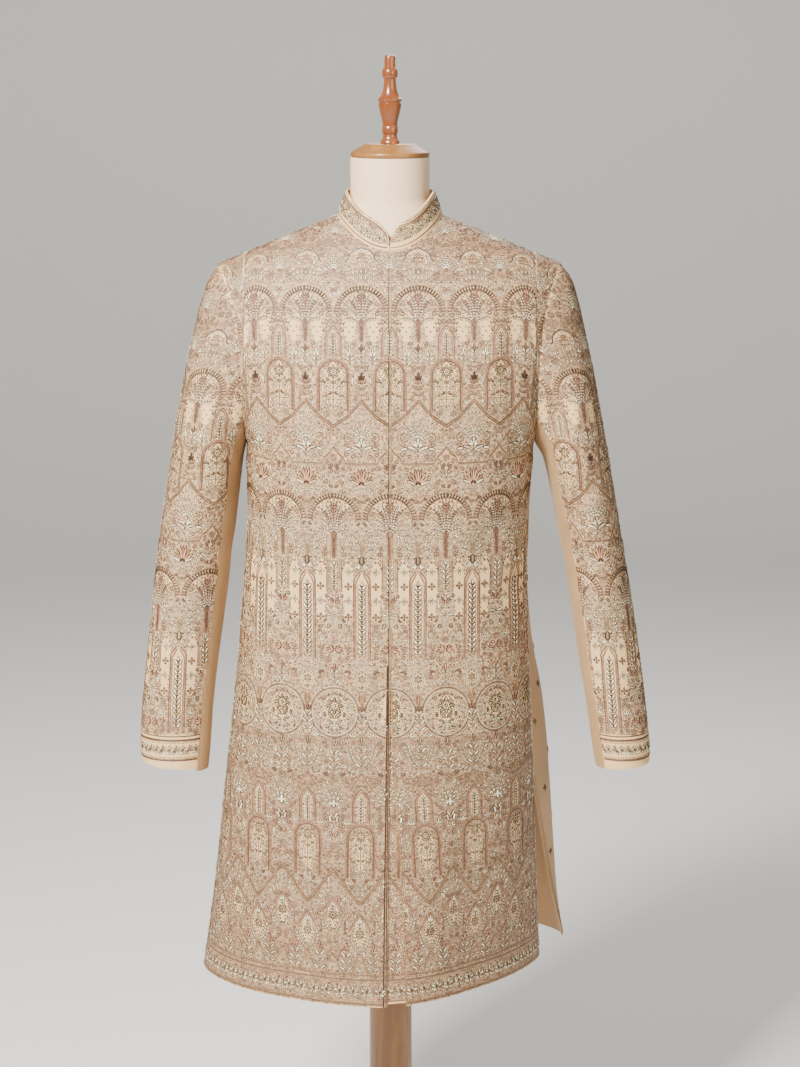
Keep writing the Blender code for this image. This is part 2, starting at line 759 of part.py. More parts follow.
def sleeve_angles(first: int, last: int):
    """Angles of a sleeve piece's columns, trimmed at both seams."""
    columns = 2 * YOKE_ROWS
    trim = math.degrees(SEAM / 2.0 / SLEEVE_DEPTHS[-1].half_depth)
    angles = [360.0 * column / columns for column in range(first, last + 1)]
    angles[0] += trim
    angles[-1] -= trim
    return angles


def sleeve_piece(side: int, upper: bool, material) -> bpy.types.Object:
    """Upper or under sleeve of one side."""
    half = "right" if side > 0 else "left"
    if upper:
        angles = sleeve_angles(SEAM_BACK - 2 * YOKE_ROWS, SEAM_FRONT)
    else:
        angles = sleeve_angles(SEAM_FRONT, SEAM_BACK)
    drop = 0.004 if not upper and side < 0 else 0.0
    name = ("sleeve_upper_" if upper else "sleeve_under_") + half
    outer = sleeve_grid(side, angles, 0.0, drop)
    inner = sleeve_grid(side, angles, WALL, drop)
    return make_wall(name, outer, inner, material)


def collar_point(angle: float, climb: float, depth: float) -> Vector:
    """Point of the stand collar, turned from its left front end to its right one."""
    side = -1.0 if angle < 180.0 else 1.0
    turned = angle if angle < 180.0 else 360.0 - angle
    front = turned <= 90.0
    step = 90.0 / (YOKE_ROWS - NECK_ROW)
    quarter = turned if front else 180.0 - turned
    below = min(90.0 - step, step * math.floor(quarter / step))
    low = neckline(math.radians(below), front)
    foot = low.lerp(neckline(math.radians(below + step), front), (quarter - below) / step)
    foot.x *= side
    outward = Vector((foot.x / NECK_X, (foot.y + COLLAR_CENTRE) / COLLAR_HALF_DEPTH, 0.0)).normalized()
    corner = COLLAR_CORNER_RIGHT if side > 0 else COLLAR_CORNER_LEFT
    run = math.radians(turned) * NECK_X
    rounded = bow(1.0 - min(1.0, run / corner), 2.0)
    sideways = math.sin(math.radians(turned)) ** 2
    height = (COLLAR_HEIGHT - COLLAR_SIDE_DROP * sideways) * mix(COLLAR_END, 1.0, rounded)
    middle = COLLAR_LEAN_FRONT if front else COLLAR_LEAN_BACK
    lean = mix(middle, COLLAR_LEAN_SIDE, sideways)
    inset = lean * climb * height / COLLAR_HEIGHT + depth
    point = foot - outward * inset
    point.z += COLLAR_FOOT + climb * height
    if turned < 1.0:
        point.x = side * SEAM
    return point


def collar(material) -> bpy.types.Object:
    """Stand collar with rounded ends that meet at the centre front."""
    grids = []
    for depth in (0.0, WALL):
        rows = []
        for row in range(COLLAR_ROWS + 1):
            angles = [360.0 * col / COLLAR_COLS for col in range(COLLAR_COLS)] + [360.0]
            rows.append([collar_point(angle, row / COLLAR_ROWS, depth) for angle in angles])
        grids.append(rows)
    return make_wall("collar", grids[0], grids[1], material)


def underlap(material) -> bpy.types.Object:
    """Strip behind the front closure, made from the fronts' own points, moved in."""
    grids = []
    for depth in (WALL + UNDERLAP_GAP, 2.0 * WALL + UNDERLAP_GAP):
        left = body_grid(-1, True, depth)
        right = body_grid(1, True, depth)
        rows = []
        for row in range(SKIRT_ROWS + UNDERLAP_YOKE_ROWS + 1):
            line = [
                left[row][0].lerp(left[row][1], UNDERLAP_SHARE),
                left[row][0],
                right[row][0],
                right[row][0].lerp(right[row][1], UNDERLAP_SHARE),
            ]
            rows.append(line)
        rows[0] = [foot.lerp(above, UNDERLAP_RISE) for foot, above in zip(rows[0], rows[1])]
        grids.append(rows)
    return make_wall("underlap", grids[0], grids[1], material)


# Dress form and stand

def bust_grid(front: bool):
    """Rows of points of the right half of the bust under a front or back."""
    rows = []
    for row in range(BUST_FIRST_ROW, SKIRT_ROWS + YOKE_ROWS + 1):
        line = []
        for col in range(BODY_COLS + 1):
            share = col / BODY_COLS
            at_seam = col == BODY_COLS and row <= SKIRT_ROWS
            facing = True if at_seam else front
            point = body_point(1, facing, row, share)
            normal = body_normal(1, facing, row, share)
            room = read(EASES, "room", point.z)
            if row >= SKIRT_ROWS + NECK_ROW:
                room += NECK_ROOM * (1.0 - smooth_step(0.0, 0.3, share))
            placed = point - normal * (WALL + room)
            if col == 0:
                placed.x = max(0.0, placed.x) if row > SKIRT_ROWS + NECK_ROW else 0.0
            line.append(placed)
        rows.append(line)
    for point in rows[0]:
        point.z = mix(HEM_Z, UNDERARM_Z, BUST_FIRST_ROW / SKIRT_ROWS)
    return rows


def mirrored(grid):
    """Copy a grid to the other side."""
    return [[Vector((-point.x, point.y, point.z)) for point in line] for line in grid]


def neck_rings(front_grid, back_grid):
    """Rings from the bust's neckline up to the top of the neck."""
    first = SKIRT_ROWS + NECK_ROW - BUST_FIRST_ROW
    right = [line[0] for line in front_grid[first:]]
    right += [line[0] for line in reversed(back_grid[first:-1])]
    left = [Vector((-point.x, point.y, point.z)) for point in reversed(right[1:-1])]
    foot = right + left
    count = len(foot)
    rings = [foot]
    for share, climb in NECK_FLARE:
        ring = []
        for at, point in enumerate(foot):
            turn = 2.0 * math.pi * at / count
            goal = Vector((NECK_R * math.sin(turn), NECK_Y - NECK_R * math.cos(turn), NECK_FOOT_Z))
            placed = point.lerp(goal, share)
            placed.z = mix(point.z, NECK_FOOT_Z, climb)
            ring.append(placed)
        rings.append(ring)
    rings.append([Vector((point.x, point.y, NECK_TOP_Z)) for point in rings[-1]])
    return rings


def bust(material) -> bpy.types.Object:
    """Smooth closed bust with its neck, under the coat."""
    mesh_data = bmesh.new()
    front_grid = bust_grid(True)
    back_grid = bust_grid(False)
    yoke = slice(SKIRT_ROWS - BUST_FIRST_ROW, None)
    plate = [[a[-1], b[-1]] for a, b in zip(front_grid[yoke], back_grid[yoke])]
    for grid in (front_grid, back_grid, plate):
        add_grid(mesh_data, grid)
        add_grid(mesh_data, mirrored(grid))
    rings = neck_rings(front_grid, back_grid)
    add_grid(mesh_data, [ring + [ring[0]] for ring in rings])
    mesh_data.faces.new([mesh_data.verts.new(point) for point in rings[-1]])
    foot = front_grid[0] + list(reversed(back_grid[0][:-1]))
    foot += [Vector((-point.x, point.y, point.z)) for point in reversed(foot[1:-1])]
    mesh_data.faces.new([mesh_data.verts.new(point) for point in foot])
    bmesh.ops.remove_doubles(mesh_data, verts=mesh_data.verts, dist=2e-5)
    bmesh.ops.dissolve_degenerate(mesh_data, edges=mesh_data.edges, dist=1e-6)
    return place_object("form_bust", mesh_data, material)


def stand_turns():
    """Profile of the upright post."""
    height = mix(HEM_Z, UNDERARM_Z, BUST_FIRST_ROW / SKIRT_ROWS) - BASE_HEIGHT - 2.0 * REST
    return (Turn(0.0, POST_FOOT_R), Turn(height / 2.0, POST_MIDDLE_R), Turn(height, POST_TOP_R))


# The whole object

def clear_scene() -> None:
    """Remove the objects that the file starts with."""
    for item in list(bpy.data.objects):
        bpy.data.objects.remove(item, do_unlink=True)


def main() -> None:
    """Build every piece."""
    clear_scene()
    made = {key: make_material(finish) for key, finish in FINISHES.items()}
    for side in (-1, 1):
        front_panel(side, made["embroidered"])
        sleeve_piece(side, True, made["embroidered"])
        sleeve_piece(side, False, made["plain"])
    back_panel(made["plain"])
    collar(made["embroidered"])
    underlap(made["embroidered"])
    bust(made["bust"])
    make_turned("neck_cap", CAP_TURNS, NECK_TOP_Z + REST, made["pale_wood"], y=NECK_Y)
    cap_top = NECK_TOP_Z + REST + CAP_TURNS[-1].height
    make_turned("finial", FINIAL_TURNS, cap_top + REST, made["red_wood"], FINIAL_SEGMENTS, NECK_Y)
    make_turned("post", stand_turns(), BASE_HEIGHT + REST, made["pale_wood"])
    make_turned("base", BASE_TURNS, 0.0, made["pale_wood"], BASE_SEGMENTS)


if __name__ == "__main__":
    main()
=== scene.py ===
"""A sherwani coat on a limbless dress form: the finish of every piece.

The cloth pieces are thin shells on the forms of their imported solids, with soft
creases. The embroidery is stitched over them as real relief: satin leaves, couched
cords and small beads, placed in the flat measures of each cut piece. The form, its
cap, finial, post and base are turned and covered anew, finer than their solids.
"""

import logging
import math
from collections.abc import Callable
from dataclasses import dataclass, field
from enum import Enum

import bmesh
import bpy
import numpy as np
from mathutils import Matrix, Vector


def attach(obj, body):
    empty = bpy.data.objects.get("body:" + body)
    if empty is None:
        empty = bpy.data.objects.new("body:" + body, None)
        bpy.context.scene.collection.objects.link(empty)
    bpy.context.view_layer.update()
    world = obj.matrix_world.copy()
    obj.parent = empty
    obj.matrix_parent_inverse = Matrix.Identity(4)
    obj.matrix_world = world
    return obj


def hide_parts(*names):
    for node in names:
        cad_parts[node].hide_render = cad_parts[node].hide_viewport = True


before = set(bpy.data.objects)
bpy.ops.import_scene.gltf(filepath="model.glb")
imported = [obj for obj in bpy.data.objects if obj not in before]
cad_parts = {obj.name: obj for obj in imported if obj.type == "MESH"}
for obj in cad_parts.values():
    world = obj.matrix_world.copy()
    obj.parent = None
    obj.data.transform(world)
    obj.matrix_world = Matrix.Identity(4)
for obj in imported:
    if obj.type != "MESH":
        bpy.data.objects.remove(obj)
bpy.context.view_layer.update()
BODY = "root"
LOG = logging.getLogger("coat")


# Sizes of the coat, as its solids have them

WALL = 0.0024
SEAM = 0.0004
HEM_Z = 0.433
UNDERARM_Z = 1.19
ARMHOLE_X = 0.197
TIP_X = 0.229
TIP_Z = 1.4325
NECK_X = 0.071
NECK_Z = 1.4965
PIT_Z = 1.455
NAPE_Z = 1.496
VENT_Z = 0.702
FRONT_PART_Z = 0.92
SHOULDER_ROUND = 2.5
SHOULDER_SOFT = 0.03
NECKLINE_SQUARE = 0.8
BULGE_SKEW = 2.2
SKIRT_ROWS = 13
YOKE_ROWS = 12
NECK_ROW = 6
EVEN_ROWS = 4
ALL_ROWS = SKIRT_ROWS + YOKE_ROWS


class Table:
    """A short table with named columns, read along a smooth curve."""

    def __init__(self, columns: str, rows: tuple[tuple[float, ...], ...]) -> None:
        """Keep the columns by name.

        Args:
            columns: Column names, the key first, parted by spaces.
            rows: One row for each section, with rising keys.
        """
        self.names = columns.split()
        self.cells = np.array(rows, float)

    def read(self, column: str, value: np.ndarray) -> np.ndarray:
        """Read one column.

        Args:
            column: Name of the column.
            value: Values of the key.

        Returns:
            The column's values there.
        """
        keys = self.cells[:, 0]
        cells = self.cells[:, self.names.index(column)]
        slopes = np.empty_like(cells)
        slopes[0] = (cells[1] - cells[0]) / (keys[1] - keys[0])
        slopes[-1] = (cells[-1] - cells[-2]) / (keys[-1] - keys[-2])
        slopes[1:-1] = (cells[2:] - cells[:-2]) / (keys[2:] - keys[:-2])
        value = np.clip(value, keys[0], keys[-1])
        at = np.clip(np.searchsorted(keys, value, side="right") - 1, 0, len(keys) - 2)
        span = keys[at + 1] - keys[at]
        share = (value - keys[at]) / span
        curve = (2 * share**3 - 3 * share**2 + 1) * cells[at]
        curve += (share**3 - 2 * share**2 + share) * span * slopes[at]
        curve += (-2 * share**3 + 3 * share**2) * cells[at + 1]
        curve += (share**3 - share**2) * span * slopes[at + 1]
        return curve


SECTIONS = Table(
    "z left right front back left_square right_square back_square left_seam_y right_seam_y bulge vent vent_y",
    (
        (0.433, 0.267, 0.2145, 0.186, 0.222, 1.8, 1.40, 2.1, -0.016, 0.012, 0.014, 0.0395, 0.080),
        (0.520, 0.254, 0.2100, 0.172, 0.204, 2.0, 1.58, 2.2, -0.012, 0.010, 0.023, 0.0230, 0.054),
        (0.610, 0.243, 0.2060, 0.159, 0.184, 2.2, 1.80, 2.3, -0.008, 0.008, 0.029, 0.0110, 0.027),
        (0.702, 0.233, 0.2020, 0.148, 0.165, 2.3, 2.00, 2.4, -0.004, 0.006, 0.033, 0.0000, 0.000),
        (0.817, 0.220, 0.1965, 0.136, 0.146, 2.4, 2.20, 2.4, 0.000, 0.004, 0.026, 0.0000, 0.000),
        (0.904, 0.211, 0.1925, 0.128, 0.132, 2.4, 2.30, 2.4, 0.000, 0.002, 0.012, 0.0000, 0.000),
        (1.018, 0.201, 0.1900, 0.124, 0.116, 2.4, 2.40, 2.4, 0.000, 0.000, 0.002, 0.0000, 0.000),
        (1.103, 0.197, 0.1920, 0.128, 0.120, 2.5, 2.50, 2.5, 0.000, 0.000, 0.000, 0.0000, 0.000),
        (1.190, 0.197, 0.1970, 0.130, 0.128, 2.5, 2.50, 2.5, 0.000, 0.000, 0.000, 0.0000, 0.000),
    ),
)
SPREADS = Table(
    "z armhole spread",
    (
        (1.1900, 0.1970, 0.1970),
        (1.2200, 0.1975, 0.2060),
        (1.2700, 0.1990, 0.2190),
        (1.3350, 0.2030, 0.2320),
        (1.3900, 0.2130, 0.2390),
        (1.4325, 0.2290, 0.2450),
    ),
)
SLEEVE_LINES = Table(
    "z left_outer left_inner right_outer right_inner",
    (
        (0.735, 0.3455, 0.2545, 0.3625, 0.2870),
        (0.764, 0.3485, 0.2515, 0.3620, 0.2820),
        (0.822, 0.3455, 0.2470, 0.3555, 0.2735),
        (0.880, 0.3395, 0.2400, 0.3480, 0.2635),
        (0.937, 0.3335, 0.2320, 0.3400, 0.2550),
        (0.994, 0.3270, 0.2240, 0.3305, 0.2450),
        (1.051, 0.3195, 0.2165, 0.3205, 0.2350),
        (1.107, 0.3110, 0.2095, 0.3110, 0.2240),
        (1.163, 0.3020, 0.2025, 0.3010, 0.2110),
        (1.190, 0.2975, 0.1975, 0.2960, 0.1975),
        (1.219, 0.2930, 0.1970, 0.2905, 0.1970),
        (1.274, 0.2820, 0.1970, 0.2800, 0.1970),
        (1.329, 0.2700, 0.1970, 0.2680, 0.1970),
        (1.383, 0.2555, 0.1970, 0.2550, 0.1970),
        (1.410, 0.2455, 0.1970, 0.2460, 0.1970),
        (1.4325, 0.2290, 0.1970, 0.2290, 0.1970),
    ),
)
SLEEVE_FOOT_Z = 0.735
SLEEVE_RISE = 0.006
SLEEVE_DEPTHS = Table(
    "along half_depth swing",
    (
        (0.00, 0.072, 0.000),
        (0.12, 0.074, 0.000),
        (0.30, 0.072, 0.000),
        (0.50, 0.063, -0.003),
        (0.70, 0.053, -0.012),
        (0.85, 0.045, -0.024),
        (1.00, 0.039, -0.036),
    ),
)


@dataclass(frozen=True)
class Crease:
    """One soft trough (negative depth) or ridge of a body panel, in metres."""

    front: bool
    x_top: float
    z_top: float
    x_foot: float
    z_foot: float
    half_width: float
    depth: float


@dataclass(frozen=True)
class SleeveCrease:
    """One soft trough or ridge across a sleeve, by length share and degrees."""

    side: int
    along: float
    angle: float
    half_along: float
    half_angle: float
    slant: float
    depth: float


# The first rows are the solids' own folds, the others the finer creases
CREASES = (
    Crease(True, -0.172, 1.400, -0.166, 1.225, 0.016, -0.0045),
    Crease(True, -0.192, 1.330, -0.184, 1.215, 0.010, 0.0020),
    Crease(True, 0.170, 1.385, 0.164, 1.235, 0.015, -0.0040),
    Crease(True, 0.176, 1.120, 0.128, 1.060, 0.020, -0.0040),
    Crease(True, 0.180, 1.010, 0.140, 0.975, 0.022, -0.0030),
    Crease(True, -0.185, 1.100, -0.140, 1.045, 0.022, -0.0035),
    Crease(True, -0.120, 0.720, -0.135, 0.440, 0.035, -0.0060),
    Crease(True, 0.110, 0.760, 0.118, 0.440, 0.030, -0.0050),
    Crease(False, -0.168, 1.395, -0.160, 1.220, 0.018, -0.0045),
    Crease(False, 0.166, 1.390, 0.162, 1.230, 0.016, -0.0045),
    Crease(False, -0.150, 1.080, -0.060, 1.030, 0.026, -0.0040),
    Crease(False, 0.155, 1.070, 0.070, 1.035, 0.024, -0.0040),
    Crease(False, -0.095, 0.780, -0.118, 0.440, 0.036, -0.0070),
    Crease(False, 0.085, 0.800, 0.112, 0.440, 0.036, -0.0070),
    Crease(True, -0.190, 1.190, -0.150, 1.150, 0.010, -0.0018),
    Crease(True, 0.188, 1.180, 0.140, 1.150, 0.011, -0.0020),
    Crease(True, 0.186, 1.065, 0.150, 1.020, 0.009, 0.0014),
    Crease(True, -0.193, 1.050, -0.160, 1.005, 0.010, -0.0016),
    Crease(True, -0.060, 1.420, -0.100, 1.360, 0.014, -0.0012),
    Crease(True, 0.085, 1.415, 0.112, 1.350, 0.013, -0.0012),
    Crease(True, 0.060, 0.700, 0.052, 0.470, 0.018, 0.0020),
    Crease(True, -0.058, 0.640, -0.070, 0.470, 0.020, 0.0018),
    Crease(True, -0.200, 0.900, -0.190, 0.640, 0.014, -0.0018),
    Crease(False, -0.030, 1.380, -0.012, 1.220, 0.020, -0.0020),
    Crease(False, 0.120, 1.440, 0.085, 1.350, 0.014, -0.0016),
    Crease(False, -0.115, 1.435, -0.090, 1.360, 0.013, -0.0015),
    Crease(False, 0.020, 1.060, 0.120, 1.010, 0.013, 0.0016),
    Crease(False, -0.140, 1.010, -0.040, 0.985, 0.012, -0.0018),
    Crease(False, 0.010, 0.760, 0.004, 0.450, 0.026, 0.0030),
    Crease(False, -0.180, 0.800, -0.200, 0.480, 0.020, -0.0024),
    Crease(False, 0.170, 0.780, 0.185, 0.500, 0.018, -0.0022),
)
SLEEVE_CREASES = (
    SleeveCrease(-1, 0.11, 105, 0.05, 35, 0.0000, -0.0050),
    SleeveCrease(-1, 0.40, 120, 0.035, 45, 0.0010, -0.0040),
    SleeveCrease(-1, 0.49, 110, 0.030, 50, 0.0008, -0.0035),
    SleeveCrease(-1, 0.45, 230, 0.035, 45, -0.0010, -0.0040),
    SleeveCrease(1, 0.12, 105, 0.05, 35, 0.0000, -0.0050),
    SleeveCrease(1, 0.43, 120, 0.035, 45, 0.0010, -0.0040),
    SleeveCrease(1, 0.54, 115, 0.030, 50, 0.0008, -0.0035),
    SleeveCrease(1, 0.47, 235, 0.035, 45, -0.0010, -0.0040),
    SleeveCrease(-1, 0.20, 125, 0.020, 30, 0.0012, -0.0018),
    SleeveCrease(-1, 0.58, 125, 0.018, 32, 0.0010, -0.0020),
    SleeveCrease(-1, 0.70, 100, 0.022, 38, 0.0008, -0.0014),
    SleeveCrease(-1, 0.85, 130, 0.020, 30, 0.0010, -0.0012),
    SleeveCrease(1, 0.22, 122, 0.020, 30, 0.0012, -0.0018),
    SleeveCrease(1, 0.62, 120, 0.018, 32, 0.0010, -0.0020),
    SleeveCrease(1, 0.76, 105, 0.022, 38, 0.0008, -0.0014),
    SleeveCrease(1, 0.33, 240, 0.022, 34, -0.0010, -0.0016),
    SleeveCrease(-1, 0.36, 250, 0.022, 34, -0.0010, -0.0016),
)


# Plain sums on arrays

def ease(low: float, high: float, value: np.ndarray) -> np.ndarray:
    """Ease from 0 at low to 1 at high.

    Args:
        low: Lower limit.
        high: Upper limit.
        value: Numbers to place between the limits.

    Returns:
        Shares from 0 to 1, eased at both ends.
    """
    share = np.clip((value - low) / (high - low), 0.0, 1.0)
    return share * share * (3.0 - 2.0 * share)


def mix(first: np.ndarray, second: np.ndarray, share: np.ndarray) -> np.ndarray:
    """Go from the first value to the second by a share.

    Args:
        first: Value or place at the start.
        second: Value at the end.
        share: Share of the way, 0 to 1.

    Returns:
        Value between the two.
    """
    return first * (1.0 - share) + second * share


def bow(share: np.ndarray, square: np.ndarray) -> np.ndarray:
    """Height of a rounded corner curve: 1 at share 0 and 0 at share 1.

    Args:
        share: Share of the way, 0 to 1.
        square: How full the curve is.

    Returns:
        Height of the bowed curve.
    """
    return np.maximum(0.0, 1.0 - np.minimum(1.0, np.abs(share)) ** square) ** (1.0 / square)


def unit(vectors: np.ndarray) -> np.ndarray:
    """Scale vectors to length 1.

    Args:
        vectors: Vectors, the last axis holds x, y and z.

    Returns:
        Vectors of length 1.
    """
    return vectors / np.maximum(1e-12, np.linalg.norm(vectors, axis=-1, keepdims=True))


def grid_normals(points: np.ndarray) -> np.ndarray:
    """Work out the normals of a grid of points.

    Args:
        points: Grid of shape rows, columns, 3.

    Returns:
        Unit normals of the same shape, turned by the order of rows and columns.
    """
    along = np.gradient(points, axis=1)
    up = np.gradient(points, axis=0)
    return unit(np.cross(along, up))


def run_lengths(points: np.ndarray) -> np.ndarray:
    """Length along the last but one axis, from its first point.

    Args:
        points: Points, the last axis holds their coordinates.

    Returns:
        Length run up to each point.
    """
    steps = np.linalg.norm(np.diff(points, axis=-2), axis=-1)
    start = np.zeros(steps.shape[:-1] + (1,))
    return np.concatenate([start, np.cumsum(steps, axis=-1)], axis=-1)


# The body's surface

def shoulder_height(x: np.ndarray) -> np.ndarray:
    """Height of the shoulder seam at a distance from the middle.

    Args:
        x: Distance from the middle in metres.

    Returns:
        Height in metres.
    """
    tip = math.hypot(TIP_X, SHOULDER_SOFT)
    neck = math.hypot(NECK_X, SHOULDER_SOFT)
    slope = (NECK_Z - TIP_Z) / (tip - neck)
    return NECK_Z - slope * (np.hypot(x, SHOULDER_SOFT) - neck)


def yoke_depth(x: np.ndarray, z: np.ndarray, front: bool) -> np.ndarray:
    """Distance of the cloth from the shoulder plane above the underarm.

    Args:
        x: Distance from the middle in metres.
        z: Height in metres.
        front: True for a front, False for the back.

    Returns:
        Depth in metres.
    """
    climb = np.clip((z - UNDERARM_Z) / (shoulder_height(x) - UNDERARM_Z), 0.0, 1.0)
    chest = SECTIONS.cells[-1, SECTIONS.names.index("front" if front else "back")]
    square = SECTIONS.cells[-1, SECTIONS.names.index("left_square")]
    across = bow(np.abs(x) / SPREADS.read("spread", z), square)
    return chest * across * bow(climb, SHOULDER_ROUND)


def neckline(turn: np.ndarray, front: bool) -> np.ndarray:
    """Points of the right half of the neckline, turned from the middle.

    Args:
        turn: Angles from the middle, in radians.
        front: True for a front, False for the back.

    Returns:
        Points of the neckline.
    """
    x = NECK_X * np.sin(turn)
    deepest = yoke_depth(np.zeros(1), np.full(1, PIT_Z if front else NAPE_Z), front)[0]
    depth = deepest * np.maximum(0.0, np.cos(turn)) ** NECKLINE_SQUARE
    full = yoke_depth(x, np.full_like(x, UNDERARM_Z), front)
    z = mix(UNDERARM_Z, shoulder_height(x), bow(depth / full, SHOULDER_ROUND))
    return np.stack([x, -depth if front else depth, z], axis=-1)


def side_angle(share: np.ndarray) -> np.ndarray:
    """Quarter turn from the middle to the side seam, closer together at the side.

    Args:
        share: Share of the way around, 0 to 1.

    Returns:
        Angle in radians.
    """
    return math.pi / 2.0 * mix(share, np.sin(math.pi / 2.0 * share), 0.35)


def yoke_point(side: int, front: bool, row: np.ndarray, share: np.ndarray) -> np.ndarray:
    """Points of the cloth above the underarm, by row and share to the armhole.

    Args:
        side: -1 for the left half, 1 for the right half.
        front: True for a front, False for the back.
        row: Row of the panel, counted from the hem.
        share: Share of the way, 0 to 1.

    Returns:
        Point in metres.
    """
    row = np.clip(row, 0.0, YOKE_ROWS)
    outer_z = UNDERARM_Z + (TIP_Z - UNDERARM_Z) * (1.0 - np.cos(math.pi * row / YOKE_ROWS)) / 2.0
    outer_x = SPREADS.read("armhole", outer_z)
    top = PIT_Z if front else NAPE_Z
    turn = math.pi / 2.0 * np.clip((row - NECK_ROW) / (YOKE_ROWS - NECK_ROW), 0.0, 1.0)
    inner = neckline(turn, front)
    below = row <= NECK_ROW
    inner_x = np.where(below, 0.0, inner[..., 0])
    inner_z = np.where(below, mix(UNDERARM_Z, top, row / NECK_ROW), inner[..., 2])
    even = mix(share, np.sin(math.pi / 2.0 * share), 0.45)
    reach = mix(np.sin(side_angle(share)), even, ease(0.0, EVEN_ROWS, row))
    x = mix(inner_x, outer_x, reach)
    z = mix(inner_z, outer_z, reach)
    crest = np.clip(row - YOKE_ROWS + 1.0, 0.0, 1.0)
    z = z + (shoulder_height(x) - z) * crest**2
    depth = np.where(crest >= 1.0, 0.0, yoke_depth(x, z, front))
    return np.stack([side * x, -depth if front else depth, z], axis=-1)


def skirt_point(side: int, front: bool, z: np.ndarray, share: np.ndarray) -> np.ndarray:
    """Points of the cloth below the underarm, by height and share to the side seam.

    Args:
        side: -1 for the left half, 1 for the right half.
        front: True for a front, False for the back.
        z: Height in metres.
        share: Share of the way, 0 to 1.

    Returns:
        Point in metres.
    """
    half = "right" if side > 0 else "left"
    seam_x = SECTIONS.read(half, z)
    seam_y = SECTIONS.read(half + "_seam_y", z)
    if front:
        opening = ease(FRONT_PART_Z, HEM_Z, z)
        middle = SEAM / 2.0 + (0.021 if side > 0 else 0.004) * opening
        start = np.arcsin(middle / seam_x)
        reach = np.sin(mix(start, math.pi / 2.0, side_angle(share) / (math.pi / 2.0)))
        depth = SECTIONS.read("front", z) + seam_y
        y = seam_y - depth * bow(reach, SECTIONS.read(half + "_square", z))
        return np.stack([side * seam_x * reach, y, z + 0.0 * share], axis=-1)
    reach = np.sin(side_angle(share))
    depth = SECTIONS.read("back", z) - seam_y
    x = seam_x * reach
    y = seam_y + depth * bow(reach, SECTIONS.read("back_square", z))
    if side > 0:
        open_here = z < VENT_Z
        x = x + SECTIONS.read("bulge", z) * np.sin(math.pi * share**BULGE_SKEW)
        x = x + np.where(open_here, SECTIONS.read("vent", z), 0.0) * share**2
        y = y + np.where(open_here, SECTIONS.read("vent_y", z), 0.0) * share**2
    return np.stack([side * x, y, z + 0.0 * share], axis=-1)


def body_point(side: int, front: bool, row: np.ndarray, share: np.ndarray) -> np.ndarray:
    """Points of the body's cloth without its creases, by row from the hem up.

    Args:
        side: -1 for the left half, 1 for the right half.
        front: True for a front, False for the back.
        row: Row of the panel, counted from the hem.
        share: Share of the way, 0 to 1.

    Returns:
        Point in metres.
    """
    row, share = np.broadcast_arrays(np.asarray(row, float), np.asarray(share, float))
    z = mix(HEM_Z, UNDERARM_Z, np.clip(row / SKIRT_ROWS, 0.0, 1.0))
    low = skirt_point(side, front, z, share)
    high = yoke_point(side, front, row - SKIRT_ROWS, share)
    return np.where((row >= SKIRT_ROWS)[..., None], high, low)


def crease_depth(front: bool, points: np.ndarray) -> np.ndarray:
    """How far the creases move the body's cloth outwards.

    Args:
        front: True for a front, False for the back.
        points: Points, the last axis holds their coordinates.

    Returns:
        Depth of the creases at each point, in metres.
    """
    moved = np.zeros(points.shape[:-1])
    flat = points[..., [0, 2]]
    for crease in CREASES:
        if crease.front != front:
            continue
        top = np.array([crease.x_top, crease.z_top])
        run = np.array([crease.x_foot, crease.z_foot]) - top
        share = np.clip(((flat - top) @ run) / (run @ run), 0.0, 1.0)
        away = np.linalg.norm(flat - top - share[..., None] * run, axis=-1)
        fade = 0.35 + 0.65 * np.sin(math.pi * share)
        moved += crease.depth * fade * np.exp(-((away / crease.half_width) ** 2))
    return moved


def body_sheet(side: int, front: bool, rows: np.ndarray, shares: np.ndarray) -> tuple[np.ndarray, np.ndarray]:
    """Points and outward normals of one half of a front or back.

    Args:
        side: -1 for the left half, 1 for the right one.
        front: Whether it is a front.
        rows: Rows from the hem up.
        shares: Shares from the middle to the side.

    Returns:
        Creased points and their normals, rows by columns by 3.
    """
    points = body_point(side, front, rows[:, None], shares[None, :])
    turn = 1.0 if front == (side > 0) else -1.0
    normals = grid_normals(points) * turn
    normals[:, 0, 0] = np.where(rows <= SKIRT_ROWS + NECK_ROW, 0.0, normals[:, 0, 0])
    normals = unit(normals)
    points = points + normals * crease_depth(front, points)[..., None]
    return points, normals


# The sleeves' surface

def armhole_point(side: int, angle: np.ndarray) -> np.ndarray:
    """Points of the armhole seam, turned forward from the shoulder tip.

    Args:
        side: -1 for the left half, 1 for the right half.
        angle: Angle around the sleeve in degrees.

    Returns:
        Point in metres.
    """
    turned = np.where(angle <= 180.0, angle, 360.0 - angle)
    row = YOKE_ROWS * (1.0 - turned / 180.0)
    share = np.ones_like(row)
    front = yoke_point(side, True, row, share)
    back = yoke_point(side, False, row, share)
    return np.where((angle <= 180.0)[..., None], front, back)


